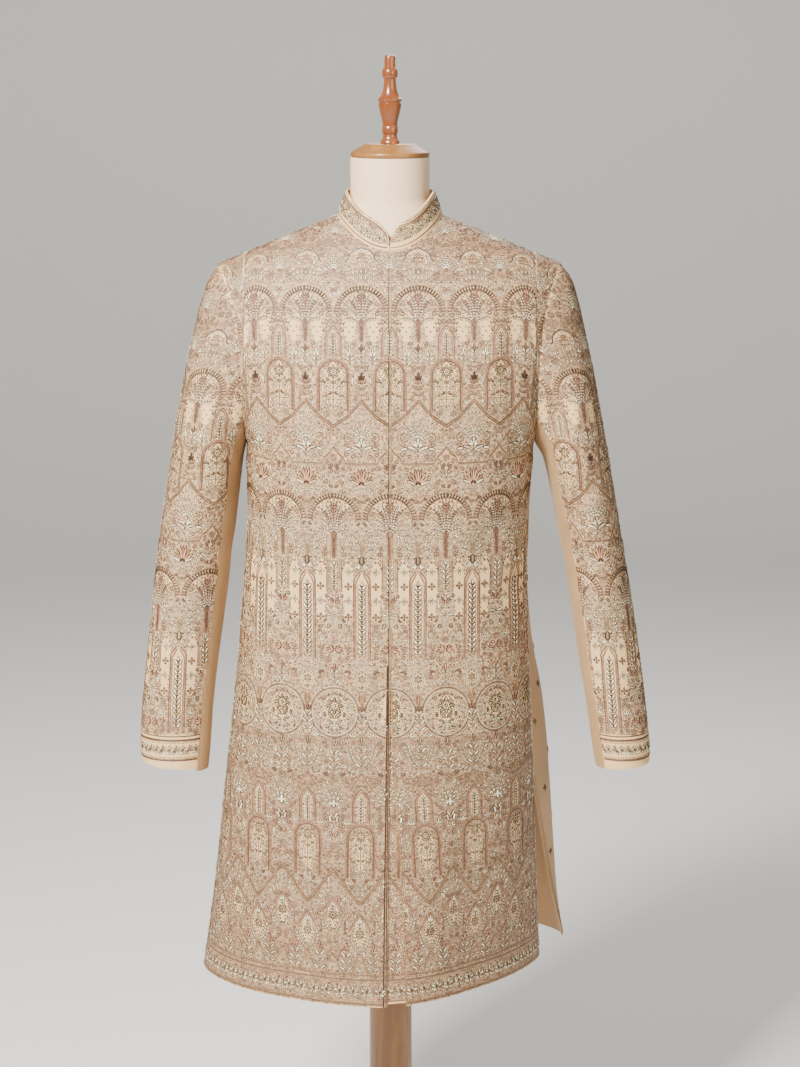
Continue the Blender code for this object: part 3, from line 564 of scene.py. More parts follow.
def sleeve_point(side: int, along: np.ndarray, angle: np.ndarray) -> np.ndarray:
    """Points of a sleeve by its length and the angle forward from its outer line.

    Args:
        side: -1 for the left half, 1 for the right half.
        along: Share of the sleeve from the shoulder to the cuff.
        angle: Angle around the sleeve in degrees.

    Returns:
        Point in metres.
    """
    along, angle = np.broadcast_arrays(np.asarray(along, float), np.asarray(angle, float))
    half = "right" if side > 0 else "left"
    outer_z = mix(TIP_Z, SLEEVE_FOOT_Z + SLEEVE_RISE, along)
    inner_z = mix(UNDERARM_Z, SLEEVE_FOOT_Z, along**1.5)
    zero = np.zeros_like(outer_z)
    outer = np.stack([side * SLEEVE_LINES.read(half + "_outer", outer_z), zero, outer_z], axis=-1)
    inner = np.stack([side * SLEEVE_LINES.read(half + "_inner", inner_z), zero, inner_z], axis=-1)
    turn = np.radians(angle)
    cosine, sine = np.cos(turn)[..., None], np.sin(turn)
    points = (outer + inner) / 2.0 + (outer - inner) / 2.0 * cosine
    depth = SLEEVE_DEPTHS.read("half_depth", along)
    points[..., 1] = SLEEVE_DEPTHS.read("swing", along) - depth * sine
    top = np.array([side * TIP_X, 0.0, TIP_Z])
    foot = np.array([side * ARMHOLE_X, 0.0, UNDERARM_Z])
    plain = (top + foot) / 2.0 + (top - foot) / 2.0 * cosine
    plain[..., 1] = -SLEEVE_DEPTHS.cells[0, 1] * sine
    held = 1.0 - ease(0.0, 0.2, along)
    return points + (armhole_point(side, angle % 360.0) - plain) * held[..., None]


def sleeve_crease(side: int, along: np.ndarray, angle: np.ndarray) -> np.ndarray:
    """How far the creases move the sleeve's cloth outwards.

    Args:
        side: -1 for the left half, 1 for the right half.
        along: Share of the sleeve from the shoulder to the cuff.
        angle: Angle around the sleeve in degrees.

    Returns:
        Depth of the creases in metres.
    """
    moved = np.zeros(np.broadcast(along, angle).shape)
    for crease in SLEEVE_CREASES:
        if crease.side != side:
            continue
        off_angle = (angle - crease.angle + 180.0) % 360.0 - 180.0
        off_along = along - crease.along - crease.slant * off_angle
        reach = (off_along / crease.half_along) ** 2 + (off_angle / crease.half_angle) ** 2
        moved += crease.depth * np.exp(-reach)
    return moved * ease(0.0, 0.08, along)


def sleeve_axis(side: int, along: np.ndarray) -> np.ndarray:
    """Middle of the sleeve at shares of its length.

    Args:
        side: -1 for the left half, 1 for the right half.
        along: Share of the sleeve from the shoulder to the cuff.

    Returns:
        Point on the middle line.
    """
    along = np.atleast_1d(along)[:, None]
    return sleeve_point(side, along, np.array([[0.0, 180.0]])).mean(axis=1)


def sleeve_sheet(side: int, alongs: np.ndarray, angles: np.ndarray) -> tuple[np.ndarray, np.ndarray]:
    """Points and outward normals of a stretch of one sleeve.

    Args:
        side: -1 for the left sleeve, 1 for the right one.
        alongs: Length shares from the armhole to the cuff.
        angles: Degrees forward from the outer line.

    Returns:
        Creased points and their normals, lengths by angles by 3.
    """
    points = sleeve_point(side, alongs[:, None], angles[None, :])
    normals = grid_normals(points)
    inward = np.sum(normals * (points - sleeve_axis(side, alongs)[:, None, :]), axis=-1)
    normals = normals * np.where(np.mean(inward) < 0.0, -1.0, 1.0)
    creased = sleeve_crease(side, alongs[:, None], angles[None, :])
    return points + normals * creased[..., None], normals


# Flat measures of the cut pieces

class ClothMap:
    """Where a place measured flat on a cut piece lies on the finished coat.

    A place is p, the length along the level line, and q, the length up the cloth.
    """

    step = 0.0025

    def __init__(self, lines: np.ndarray, first_q: float, outline: np.ndarray, outward: np.ndarray) -> None:
        """Even out the level lines.

        Args:
            lines: Points of level lines, levels by points by 3, from p = 0 on.
            first_q: Measure q of the first level, with the others a step apart.
            outline: Points of the piece's edge, in order.
            outward: A point inside the coat, which the cloth faces away from.
        """
        self.first_q = first_q
        self.first_p = 0.0
        runs = run_lengths(lines)
        self.even_out(lines, runs, runs[:, -1].max())
        self.finish(outline, outward)

    def even_out(self, lines: np.ndarray, runs: np.ndarray, longest: float) -> None:
        """Place points at even lengths on every level line.

        Args:
            lines: Points of the level lines.
            runs: Length p of each point.
            longest: Highest p that is kept.
        """
        count = int(round((longest - self.first_p) / self.step)) + 1
        evens = self.first_p + self.step * np.arange(count)
        table = np.empty((len(lines), count, 3))
        for level, (points, run) in enumerate(zip(lines, runs)):
            for axis in range(3):
                table[level, :, axis] = np.interp(evens, run, points[:, axis])
            past = np.maximum(0.0, evens - run[-1])[:, None]
            table[level] += past * unit(points[-1] - points[-3])
            before = np.maximum(0.0, run[0] - evens)[:, None]
            table[level] -= before * unit(points[2] - points[0])
        self.points = table

    def finish(self, outline: np.ndarray, outward: np.ndarray) -> None:
        """Work out the normals, the stretch and the piece's edge.

        Args:
            outline: Points of the piece's edge, in order.
            outward: A point, or one for each level, that the cloth faces away from.
        """
        self.normals = grid_normals(self.points)
        facing = np.sum(self.normals * (self.points - outward), axis=-1)
        self.flipped = bool(np.median(facing) < 0.0)
        if self.flipped:
            self.normals = -self.normals
        self.crease()
        rise = np.linalg.norm(np.gradient(self.points, axis=0), axis=-1) / self.step
        self.stretch = np.clip(rise, 0.6, 4.0)
        flat = self.points.reshape(-1, 3)
        edge = []
        for corner in outline:
            level, column = divmod(int(np.argmin(np.sum((flat - corner) ** 2, axis=1))), self.points.shape[1])
            edge.append((self.first_p + column * self.step, self.first_q + level * self.step))
        self.edge = np.array(edge)

    def crease(self) -> None:
        """Leave the points as they are; a map with creases moves them here."""

    def place(self, p: np.ndarray, q: np.ndarray) -> tuple[np.ndarray, np.ndarray, np.ndarray]:
        """Look up places.

        Args:
            p: Lengths along the level line.
            q: Lengths up the cloth.

        Returns:
            Points, unit normals and stretch along q.
        """
        column = np.clip((p - self.first_p) / self.step, 0.0, self.points.shape[1] - 1.001)
        level = np.clip((q - self.first_q) / self.step, 0.0, self.points.shape[0] - 1.001)
        at_c, at_l = column.astype(int), level.astype(int)
        part_c, part_l = (column - at_c)[..., None], (level - at_l)[..., None]
        found = []
        for table in (self.points, self.normals, self.stretch[..., None]):
            low = mix(table[at_l, at_c], table[at_l, at_c + 1], part_c)
            high = mix(table[at_l + 1, at_c], table[at_l + 1, at_c + 1], part_c)
            found.append(mix(low, high, part_l))
        return found[0], unit(found[1]), found[2][..., 0]

    def inside(self, p: np.ndarray, q: np.ndarray, margin: float) -> np.ndarray:
        """Tell which places lie on the piece, at least a margin from its edge.

        Args:
            p: Places along the level line, in metres.
            q: Places up the cloth, in metres.
            margin: Least distance to the edge, in metres.

        Returns:
            True where a place lies on the cloth.
        """
        within = np.zeros(len(p), bool)
        nearest = np.full(len(p), 1e9)
        for (ax, ay), (bx, by) in zip(self.edge, np.roll(self.edge, -1, axis=0)):
            if ay != by:
                crossing = ax + (q - ay) * (bx - ax) / (by - ay)
                within ^= ((ay > q) != (by > q)) & (p < crossing)
            run = np.array([bx - ax, by - ay])
            length = max(1e-12, float(run @ run))
            share = np.clip(((p - ax) * run[0] + (q - ay) * run[1]) / length, 0.0, 1.0)
            nearest = np.minimum(nearest, np.hypot(p - ax - share * run[0], q - ay - share * run[1]))
        return within & (nearest > margin)


class BodyMap(ClothMap):
    """Flat measures of one half of a front or back, with p from the middle edge."""

    columns = 90
    climbs = 160
    highest = 1.64

    def __init__(self, side: int, front: bool) -> None:
        """Lay out the level lines of the skirt and the yoke.

        Args:
            side: -1 for the left half, 1 for the right one.
            front: Whether it is a front.
        """
        self.side = side
        self.front = front
        levels = np.arange(HEM_Z, self.highest, self.step)
        skirt = levels[levels < UNDERARM_Z]
        shares = np.linspace(0.0, 1.0, self.columns)
        rows = (skirt - HEM_Z) / (UNDERARM_Z - HEM_Z) * SKIRT_ROWS
        low = body_point(side, front, rows[:, None], shares[None, :])
        high = self.yoke_lines(levels[len(skirt):])
        super().__init__(np.concatenate([low, high]), HEM_Z, self.outline(), np.array([0.0, 0.0, 1.0]))

    def yoke_lines(self, levels: np.ndarray) -> np.ndarray:
        """Points of the level lines above the underarm.

        Args:
            levels: Measures q of the lines.

        Returns:
            Levels by columns by 3.
        """
        x = TIP_X * 1.03 * np.sin(np.linspace(0.0, math.pi / 2.0, self.columns))
        climb = np.sin(np.linspace(0.0, math.pi / 2.0, self.climbs))
        z = mix(UNDERARM_Z, shoulder_height(x)[None, :], climb[:, None])
        y = yoke_depth(np.broadcast_to(x, z.shape), z, self.front)
        lines = np.empty((len(levels), self.columns, 3))
        for column in range(self.columns):
            rise = np.hypot(np.diff(z[:, column]), np.diff(y[:, column]))
            up = UNDERARM_Z + np.concatenate([[0.0], np.cumsum(rise)])
            lines[:, column, 2] = np.interp(levels, up, z[:, column])
            lines[:, column, 1] = np.interp(levels, up, y[:, column])
            past = np.maximum(0.0, levels - up[-1])
            lines[:, column, 1] -= past
        lines[:, :, 0] = self.side * x[None, :]
        lines[:, :, 1] *= -1.0 if self.front else 1.0
        return lines

    def outline(self) -> np.ndarray:
        """Points of the piece's edge, from the foot of its middle edge round.

        Returns:
            Points of the edge, in order.
        """
        shares = np.linspace(0.0, 1.0, 24)
        skirt = np.linspace(0.0, SKIRT_ROWS, 40)
        yoke = np.linspace(SKIRT_ROWS, ALL_ROWS, 60)
        up = np.concatenate([skirt, yoke[1:]])
        parts = [
            body_point(self.side, self.front, np.zeros(24), shares),
            body_point(self.side, self.front, up, np.ones(len(up))),
            body_point(self.side, self.front, np.full(24, float(ALL_ROWS)), shares[::-1]),
            body_point(self.side, self.front, up[::-1], np.zeros(len(up))),
        ]
        return np.concatenate(parts)

    def crease(self) -> None:
        """Move the points by the body's creases."""
        self.points = self.points + self.normals * crease_depth(self.front, self.points)[..., None]


class SleeveMap(ClothMap):
    """Flat measures of an upper sleeve, with p forward from the outer line."""

    first_angle = -120.0
    last_angle = 135.0
    columns = 103
    climbs = 120

    def __init__(self, side: int) -> None:
        """Lay out the level lines.

        Args:
            side: -1 for the left sleeve, 1 for the right one.
        """
        self.side = side
        angles = np.linspace(self.first_angle, self.last_angle, self.columns)
        alongs = np.linspace(0.0, 1.0, self.climbs)
        points, _ = sleeve_sheet(side, alongs, angles)
        levels = np.arange(SLEEVE_FOOT_Z, TIP_Z + 0.02, self.step)
        lines = np.empty((len(levels), self.columns, 3))
        for column in range(self.columns):
            strand = points[::-1, column]
            for axis in range(3):
                lines[:, column, axis] = np.interp(levels, strand[:, 2], strand[:, axis])
            past = np.maximum(0.0, levels - strand[-1, 2])[:, None]
            lines[:, column] += past * unit(strand[-1] - strand[-4])
            lines[:, column, 2] = np.where(past[:, 0] > 0.0, levels, lines[:, column, 2])
        self.first_q = SLEEVE_FOOT_Z
        runs = run_lengths(lines)
        middle = int(np.argmin(np.abs(angles)))
        runs = runs - runs[:, middle:middle + 1]
        self.first_p = float(runs[:, 0].min())
        self.even_out(lines, runs, float(runs[:, -1].max()))
        axis = sleeve_axis(side, np.clip((TIP_Z - levels) / (TIP_Z - SLEEVE_FOOT_Z), 0.0, 1.0))
        self.finish(self.outline(points), axis[:, None, :])

    def outline(self, points: np.ndarray) -> np.ndarray:
        """Points of the piece's edge from its grid.

        Args:
            points: Points, the last axis holds their coordinates.

        Returns:
            Points of the edge, in order.
        """
        sides = [points[0, :], points[1:, -1], points[-1, -2::-1], points[-2:0:-1, 0]]
        return np.concatenate(sides)


# Threads and stitches

class Thread(Enum):
    """Threads and beads of the embroidery, by material slot."""

    SILK = 0
    BLUSH = 1
    MAUVE = 2
    SAGE = 3
    DARK = 4
    GOLD = 5
    PEARL = 6
    SPANGLE = 7
    # The last two are no threads: flat patches of painted shade on the ground among the stitches, the second a darker
    # copy
    NET = 8
    LOW_NET = 9


class Form(Enum):
    """Relief forms that all the embroidery is made of."""

    LEAF = 0
    STITCH = 1
    CORD = 2
    BEAD = 3
    PATCH = 4


@dataclass(frozen=True)
class Relief:
    """One relief form of unit length, width and height."""

    corners: np.ndarray
    faces: np.ndarray


def _relief(corners: list, faces: list) -> Relief:
    """Keep a form's corners and faces as arrays.

    Args:
        corners: Corners of the form in its own units.
        faces: Corner numbers of each triangle.

    Returns:
        The form as arrays.
    """
    return Relief(np.array(corners, float), np.array(faces, int))


SINK = -0.25
RELIEFS = {
    # The flat patch is used only for the painted shade among the stitches
    Form.PATCH: _relief([(0, -0.5, 1), (1, -0.5, 1), (1, 0.5, 1), (0, 0.5, 1)], [(0, 1, 2), (0, 2, 3)]),
    Form.LEAF: _relief(
        [(0, 0, SINK), (0.3, -0.5, SINK), (0.72, -0.4, SINK), (1, 0, SINK),
         (0.72, 0.4, SINK), (0.3, 0.5, SINK), (0.28, 0, 1), (0.7, 0, 0.9)],
        [(0, 1, 6), (1, 2, 7), (1, 7, 6), (2, 3, 7), (3, 4, 7), (4, 5, 6), (4, 6, 7), (5, 0, 6)],
    ),
    Form.STITCH: _relief(
        [(0, 0, SINK), (0.5, -0.5, SINK), (1, 0, SINK), (0.5, 0.5, SINK), (0.5, 0, 1)],
        [(0, 1, 4), (1, 2, 4), (2, 3, 4), (3, 0, 4)],
    ),
    Form.CORD: _relief(
        [(-0.08, -0.5, SINK), (1.08, -0.5, SINK), (-0.08, 0.5, SINK), (1.08, 0.5, SINK),
         (-0.08, 0, 1), (1.08, 0, 1)],
        [(0, 1, 5), (0, 5, 4), (3, 2, 4), (3, 4, 5)],
    ),
    Form.BEAD: _relief(
        [(0.5, 0, SINK), (0.155, 0.475, SINK), (-0.405, 0.294, SINK), (-0.405, -0.294, SINK),
         (0.155, -0.475, SINK), (0, 0, 1)],
        [(0, 1, 5), (1, 2, 5), (2, 3, 5), (3, 4, 5), (4, 0, 5)],
    ),
}
PAINTED_SHADE_HEIGHT = 0.16         # how far the patches of painted shade stand up, in millimetres
LEAF_HEIGHT = 0.48        # share of a leaf's width that it stands up
PITCH = 75.0              # width of one repeat, in millimetres
HALF = PITCH / 2.0


# How much longer and wider each form is sewn than it is drawn
GROWTH = {
    Form.LEAF: (1.22, 2.1), Form.STITCH: (1.25, 2.2), Form.CORD: (1.0, 2.6), Form.BEAD: (1.4, 1.4),
    Form.PATCH: (1.0, 1.0),
}


class Motifs:
    """Stitches of one repeat, in millimetres: x from its middle, y up the cloth."""

    def __init__(self) -> None:
        """Start with no stitches."""
        self.rows: list[tuple[float, ...]] = []

    def put(self, form: Form, x: float, y: float, turn: float, length: float, width: float,
            thread: Thread, height: float = 0.0) -> None:
        """Add one stitch.

        Args:
            form: Relief form.
            x: Place of its start across.
            y: Place of its start up the cloth.
            turn: Degrees from the level line, 90 is up.
            length: Length.
            width: Width.
            thread: Thread or bead.
            height: How far it stands up, or 0 for its usual height.
        """
        tall = height or min(1.5, 0.2 + LEAF_HEIGHT * width)
        longer, wider = GROWTH[form]
        self.rows.append((form.value, x, y, math.radians(turn), longer * length, wider * width, tall, thread.value))

    def leaf(self, x: float, y: float, turn: float, length: float, thread: Thread, width: float = 0.0) -> None:
        """Add one satin leaf.

        Args:
            x: Place across, in the units of the drawing.
            y: Place up, in the units of the drawing.
            turn: Angle in degrees, counted from the right.
            length: Length in mm.
            thread: Thread of the leaves or strokes.
            width: Width in mm.
        """
        self.put(Form.LEAF, x, y, turn, length, width or min(0.42 * length, 1.2 + 0.13 * length), thread)

    def stitch(self, x: float, y: float, turn: float, length: float, thread: Thread, width: float = 0.0) -> None:
        """Add one short satin stitch.

        Args:
            x: Place across, in the units of the drawing.
            y: Place up, in the units of the drawing.
            turn: Angle in degrees, counted from the right.
            length: Length in mm.
            thread: Thread of the leaves or strokes.
            width: Width in mm.
        """
        self.put(Form.STITCH, x, y, turn, length, width or 0.5 * length, thread)

    def bead(self, x: float, y: float, size: float, thread: Thread = Thread.PEARL) -> None:
        """Add one small bead.

        Args:
            x: Place across, in the units of the drawing.
            y: Place up, in the units of the drawing.
            size: Size in mm.
            thread: Thread of the leaves or strokes.
        """
        self.put(Form.BEAD, x, y, 0.0, size, size, thread, 0.5 * size)

    def cord(self, points: list[tuple[float, float]], thread: Thread, width: float = 0.8, step: float = 2.6) -> None:
        """Couch a cord along a line.

        Args:
            points: Corners of the line.
            thread: Thread of the cord.
            width: Its width.
            step: Longest stretch of one straight piece.
        """
        line = np.array(points, float)
        run = np.concatenate([[0.0], np.cumsum(np.hypot(*np.diff(line, axis=0).T))])
        count = max(1, int(math.ceil(run[-1] / step)))
        at = np.linspace(0.0, run[-1], count + 1)
        even = np.stack([np.interp(at, run, line[:, 0]), np.interp(at, run, line[:, 1])], axis=1)
        for (ax, ay), (bx, by) in zip(even, even[1:]):
            length = math.hypot(bx - ax, by - ay)
            if length > 1e-6:
                turn = math.degrees(math.atan2(by - ay, bx - ax))
                self.put(Form.CORD, ax, ay, turn, length, width, thread, 0.3 + 0.4 * width)

    def both(self, made: "Motifs") -> None:
        """Add stitches and their mirror images about x = 0.

        Args:
            made: Stitches of the right half.
        """
        for form, x, y, turn, length, width, tall, thread in made.rows:
            self.rows.append((form, x, y, turn, length, width, tall, thread))
            self.rows.append((form, -x, y, math.pi - turn, length, width, tall, thread))

    def moved(self, made: "Motifs", x: float, y: float = 0.0) -> None:
        """Add stitches moved aside and up.

        Args:
            made: Stitches to copy.
            x: Place across, in the units of the drawing.
            y: Place up, in the units of the drawing.
        """
        for row in made.rows:
            self.rows.append((row[0], row[1] + x, row[2] + y, *row[3:]))

    def array(self) -> np.ndarray:
        """All stitches as rows of numbers.

        Returns:
            Stitches as rows of numbers.
        """
        return np.array(self.rows, float).reshape(-1, 8)


def curve(first: tuple, bend: tuple, last: tuple, count: int = 9) -> list[tuple[float, float]]:
    """Points of a soft curve that leans towards a bend.

    Args:
        first: Value or place at the start.
        bend: Point that the curve leans to.
        last: Value or place at the end.
        count: Count of points.

    Returns:
        Points of the curve.
    """
    share = np.linspace(0.0, 1.0, count)[:, None]
    points = (1 - share) ** 2 * np.array(first) + 2 * share * (1 - share) * np.array(bend)
    return [tuple(point) for point in points + share**2 * np.array(last)]


def ring(x: float, y: float, across: float, tall: float, first: float, last: float, count: int = 25) -> list:
    """Points along an oval, by degrees from its right end.

    Args:
        x: Place across, in the units of the drawing.
        y: Place up, in the units of the drawing.
        across: Half width in mm.
        tall: Half height in mm.
        first: First angle in degrees.
        last: Last angle in degrees.
        count: Count of points.

    Returns:
        Points of the ring.
    """
    turns = np.radians(np.linspace(first, last, count))
    return [(x + across * math.cos(turn), y + tall * math.sin(turn)) for turn in turns]


def flower(made: Motifs, x: float, y: float, size: float, petals: int, thread: Thread, heart: Thread) -> None:
    """Sew a round flower of satin petals with a bead in its heart.

    Args:
        made: Where the stitches are added.
        x: Place across, in the units of the drawing.
        y: Place up, in the units of the drawing.
        size: Size in mm.
        petals: Count of petals.
        thread: Thread of the leaves or strokes.
        heart: Thread of the middle.
    """
    for petal in range(petals):
        turn = 90.0 + 360.0 * petal / petals
        start = math.radians(turn)
        made.leaf(x + 0.16 * size * math.cos(start), y + 0.16 * size * math.sin(start), turn, 0.42 * size,
                  thread, 0.2 * size if petals < 7 else 0.155 * size)
    made.bead(x, y, 0.26 * size, heart)


def cross(made: Motifs, x: float, y: float, size: float, thread: Thread) -> None:
    """Sew a small flower of four petals with a bead in its heart.

    Args:
        made: Where the stitches are added.
        x: Place across, in the units of the drawing.
        y: Place up, in the units of the drawing.
        size: Size in mm.
        thread: Thread of the leaves or strokes.
    """
    for turn in (0, 90, 180, 270):
        start = math.radians(turn)
        made.leaf(x + 0.1 * size * math.cos(start), y + 0.1 * size * math.sin(start), turn, 0.42 * size,
                  thread, 0.21 * size)
    made.bead(x, y, 0.22 * size, Thread.GOLD)


def stalk(made: Motifs, x: float, low: float, high: float, leaf: float, thread: Thread, lean: float = 52.0) -> None:
    """Sew an upright stalk with pairs of leaves, like an ear of wheat.

    Args:
        made: Where the stitches are added.
        x: Place across, in the units of the drawing.
        low: Height of the foot in mm.
        high: Height of the top in mm.
        leaf: Length of a leaf in mm.
        thread: Thread of the leaves or strokes.
        lean: How far the leaves lean, in degrees.
    """
    count = int((high - low) / (0.86 * leaf))
    for pair in range(count):
        y = low + (pair + 0.1) * (high - low) / count
        made.leaf(x + 0.25, y, lean, leaf, thread, 0.42 * leaf)
        made.leaf(x - 0.25, y, 180.0 - lean, leaf, thread, 0.42 * leaf)
    made.leaf(x, high - 0.3 * leaf, 90.0, leaf, thread)
    made.cord([(x, low - 1.0), (x, high - 0.3 * leaf)], Thread.MAUVE, 0.5, 3.5)


def branch(made: Motifs, line: list[tuple[float, float]], leaf: float, thread: Thread, stem: Thread) -> None:
    """Sew a curved twig with leaves on both sides.

    Args:
        made: Stitches to add to.
        line: Points along the twig.
        leaf: Length of one leaf.
        thread: Thread of the leaves.
        stem: Thread of the twig.
    """
    made.cord(line, stem, 0.55)
    path = np.array(line)
    run = np.concatenate([[0.0], np.cumsum(np.hypot(*np.diff(path, axis=0).T))])
    count = max(2, int(run[-1] / (1.05 * leaf)))
    for at in np.linspace(0.22 * run[-1], run[-1], count):
        x, y = np.interp(at, run, path[:, 0]), np.interp(at, run, path[:, 1])
        back = max(0.0, at - 0.6)
        dx = x - np.interp(back, run, path[:, 0])
        dy = y - np.interp(back, run, path[:, 1])
        turn = math.degrees(math.atan2(dy, dx))
        if at < run[-1]:
            made.leaf(x, y, turn + 48.0, leaf, thread)
            made.leaf(x, y, turn - 48.0, leaf, thread)
        else:
            made.leaf(x, y, turn, 1.15 * leaf, thread)


def arch(made: Motifs, x: float, spring: float, crown: float, half: float) -> None:
    """Sew a round arch: two cords with a row of slanting leaves between them.

    Args:
        made: Where the stitches are added.
        x: Middle in mm.
        spring: Height where the arch begins, in mm.
        crown: Height of the top, in mm.
        half: Half width in mm.
    """
    outer = ring(x, spring, half, crown - spring, 0, 180, 41)
    band = 7.0
    inner = ring(x, spring, half - band, crown - spring - band, 0, 180, 37)
    made.cord(outer, Thread.GOLD, 0.7)
    made.cord(inner, Thread.MAUVE, 0.7)
    for share in np.linspace(2.0, 178.0, 27):
        turn = math.radians(share)
        reach = 0.5 * band
        px = x + (half - reach) * math.cos(turn)
        py = spring + (crown - spring - reach) * math.sin(turn)
        way = math.degrees(turn)
        side = 1.0 if share < 90.0 else -1.0
        thread = Thread.DARK if abs(share - 90.0) < 48.0 else Thread.MAUVE
        made.leaf(px, py, way + side * 42.0, 3.7, thread, 1.7)
        made.leaf(px, py, way + 180.0 - side * 42.0, 3.7, thread, 1.7)


def fan_tree(made: Motifs, x: float, foot: float, fork: float, top: float, half: float) -> None:
    """Sew a tree with a double trunk, scrolls at its sides and a fan of twigs.

    Args:
        made: Where the stitches are added.
        x: Place across, in the units of the drawing.
        foot: Height of the foot, in mm.
        fork: Height where the branches begin, in mm.
        top: Height of the top in mm.
        half: Half width in mm.
    """
    right = Motifs()
    for offset, thread in ((0.8, Thread.MAUVE), (2.7, Thread.BLUSH)):
        line = [(offset * 0.6, foot), (offset, foot + 6), (offset, fork - 5), (offset + 1.6, fork + 1)]
        right.cord(line, thread, 0.85)
    for step in np.arange(foot + 2.0, fork - 3.0, 4.2):
        right.leaf(4.4, step, 52.0, 4.0, Thread.SILK, 1.5)
    reach = top - fork
    for turn, share in ((80.0, 0.96), (64.0, 1.0), (48.0, 0.98), (31.0, 0.9), (14.0, 0.86)):
        way = math.radians(turn)
        goal = (half * 1.06 * share * math.cos(way), fork + reach * share * math.sin(way))
        if turn < 20.0:
            goal = (half * 0.98, fork + 0.16 * reach)
        bend = (0.28 * goal[0], fork + 0.62 * (goal[1] - fork) + 3.0)
        thread = Thread.MAUVE if turn in (80.0, 48.0) else Thread.SILK
        branch(right, curve((1.2, fork - 2.0), bend, goal), 3.8, thread, Thread.MAUVE)
        right.leaf(goal[0], goal[1], turn, 3.6, Thread.BLUSH if turn in (64.0, 31.0) else Thread.SILK)
    whole = Motifs()
    whole.both(right)
    branch(whole, [(0.0, fork - 2.0), (0.0, top)], 4.0, Thread.BLUSH, Thread.MAUVE)
    made.moved(whole, x)


def pointed(x: float, foot: float, shoulder: float, tip: float, half: float) -> list[tuple[float, float]]:
    """Outline of a pointed arch from its left foot to its right one.

    Args:
        x: Place across, in the units of the drawing.
        foot: Height of the foot, in mm.
        shoulder: Height where the sides end, in mm.
        tip: Height of the tip, in mm.
        half: Half width in mm.

    Returns:
        Points of the outline.
    """
    left = [(x - half, foot), (x - half, shoulder)]
    left += curve((x - half, shoulder), (x - 0.75 * half, shoulder + 0.55 * (tip - shoulder)), (x, tip), 7)[1:]
    return left + [(2.0 * x - px, py) for px, py in left[-2::-1]]


def lancet(made: Motifs, x: float, foot: float, tip: float, half: float) -> None:
    """Sew a narrow pointed arch with an ear of leaves inside.

    Args:
        made: Where the stitches are added.
        x: Place across, in the units of the drawing.
        foot: Height of the foot, in mm.
        tip: Height of the tip, in mm.
        half: Half width in mm.
    """
    shoulder = tip - 1.5 * half
    made.cord(pointed(x, foot, shoulder, tip, half), Thread.MAUVE, 0.8)
    made.cord(pointed(x, foot, shoulder - 0.5, tip - 4.0, half - 2.4), Thread.BLUSH, 0.7)
    stalk(made, x, foot + 1.0, tip - 0.8 * half - 4.0, 4.6, Thread.SILK)
    for step in np.arange(foot + 2.0, shoulder, 3.4):
        for side in (-1.0, 1.0):
            made.stitch(x + side * (half + 1.0), step, 90.0 - side * 40.0, 2.0, Thread.SILK, 0.9)


def bouquet(made: Motifs, x: float, low: float, high: float, half: float, heart: Thread) -> None:
    """Sew a tied bunch: a main flower, side flowers and curling leaves.

    Args:
        made: Where the stitches are added.
        x: Place across, in the units of the drawing.
        low: Height of the foot in mm.
        high: Height of the top in mm.
        half: Half width in mm.
        heart: Thread of the middle.
    """
    tall = high - low
    size = min(0.95 * half, 0.34 * tall)
    flower(made, x, high - 0.62 * size, size, 8, heart, Thread.PEARL)
    right = Motifs()
    right.cord(curve((0.0, low), (0.6 * half, low + 0.2 * tall), (0.55 * half, low + 0.42 * tall)), Thread.SAGE, 0.5)
    flower(right, 0.56 * half, low + 0.5 * tall, 0.62 * size, 5, Thread.SILK, Thread.DARK)
    for share, reach, turn in ((0.08, 0.1, 8.0), (0.2, 0.16, 30.0), (0.3, 0.5, -12.0), (0.62, 0.28, 40.0)):
        right.leaf(reach * half, low + share * tall, turn, 0.44 * half, Thread.SILK if share < 0.25 else Thread.SAGE)
    right.cord(ring(0.42 * half, low + 0.13 * tall, 0.2 * half, 0.1 * tall, 200, 460, 9), Thread.BLUSH, 0.5, 1.6)
    right.leaf(0.3, low + 0.55 * tall, 58.0, 0.36 * half, Thread.SAGE)
    both = Motifs()
    both.both(right)
    made.moved(both, x)
    made.cord([(x, low - 1.0), (x, high - size)], Thread.SAGE, 0.6)


def niche(made: Motifs, x: float, foot: float, crown: float, half: float, heart: Thread) -> None:
    """Sew a round-headed niche with a double line and a bunch inside.

    Args:
        made: Where the stitches are added.
        x: Place across, in the units of the drawing.
        foot: Height of the foot, in mm.
        crown: Height of the top, in mm.
        half: Half width in mm.
        heart: Thread of the middle.
    """
    for inset, thread in ((0.0, Thread.GOLD), (1.9, Thread.BLUSH), (3.6, Thread.MAUVE)):
        wide = half - inset
        top = ring(x, crown - half, wide, half - inset, 0, 180, 25)
        made.cord([(x + wide, foot)] + top + [(x - wide, foot)], thread, 0.8)
    bouquet(made, x, foot + 4.0, crown - 8.0, half - 6.0, heart)


def plant(made: Motifs, x: float, low: float, high: float, thread: Thread, top: Thread) -> None:
    """Sew a small upright plant with a bud on top.

    Args:
        made: Where the stitches are added.
        x: Place across, in the units of the drawing.
        low: Height of the foot in mm.
        high: Height of the top in mm.
        thread: Thread of the leaves or strokes.
        top: Thread of the top.
    """
    tall = high - low
    made.cord([(x, low), (x, high - 0.3 * tall)], Thread.SAGE, 0.5)
    for share, turn in ((0.1, 35.0), (0.32, 42.0), (0.52, 50.0)):
        made.leaf(x, low + share * tall, turn, min(10.0, 0.28 * tall), thread)
        made.leaf(x, low + share * tall, 180.0 - turn, min(10.0, 0.28 * tall), thread)
    size = min(11.0, 0.38 * tall)
    made.leaf(x, high - size, 90.0, size, top)
    made.leaf(x, high - 1.1 * size, 60.0, 0.8 * size, top)
    made.leaf(x, high - 1.1 * size, 120.0, 0.8 * size, top)


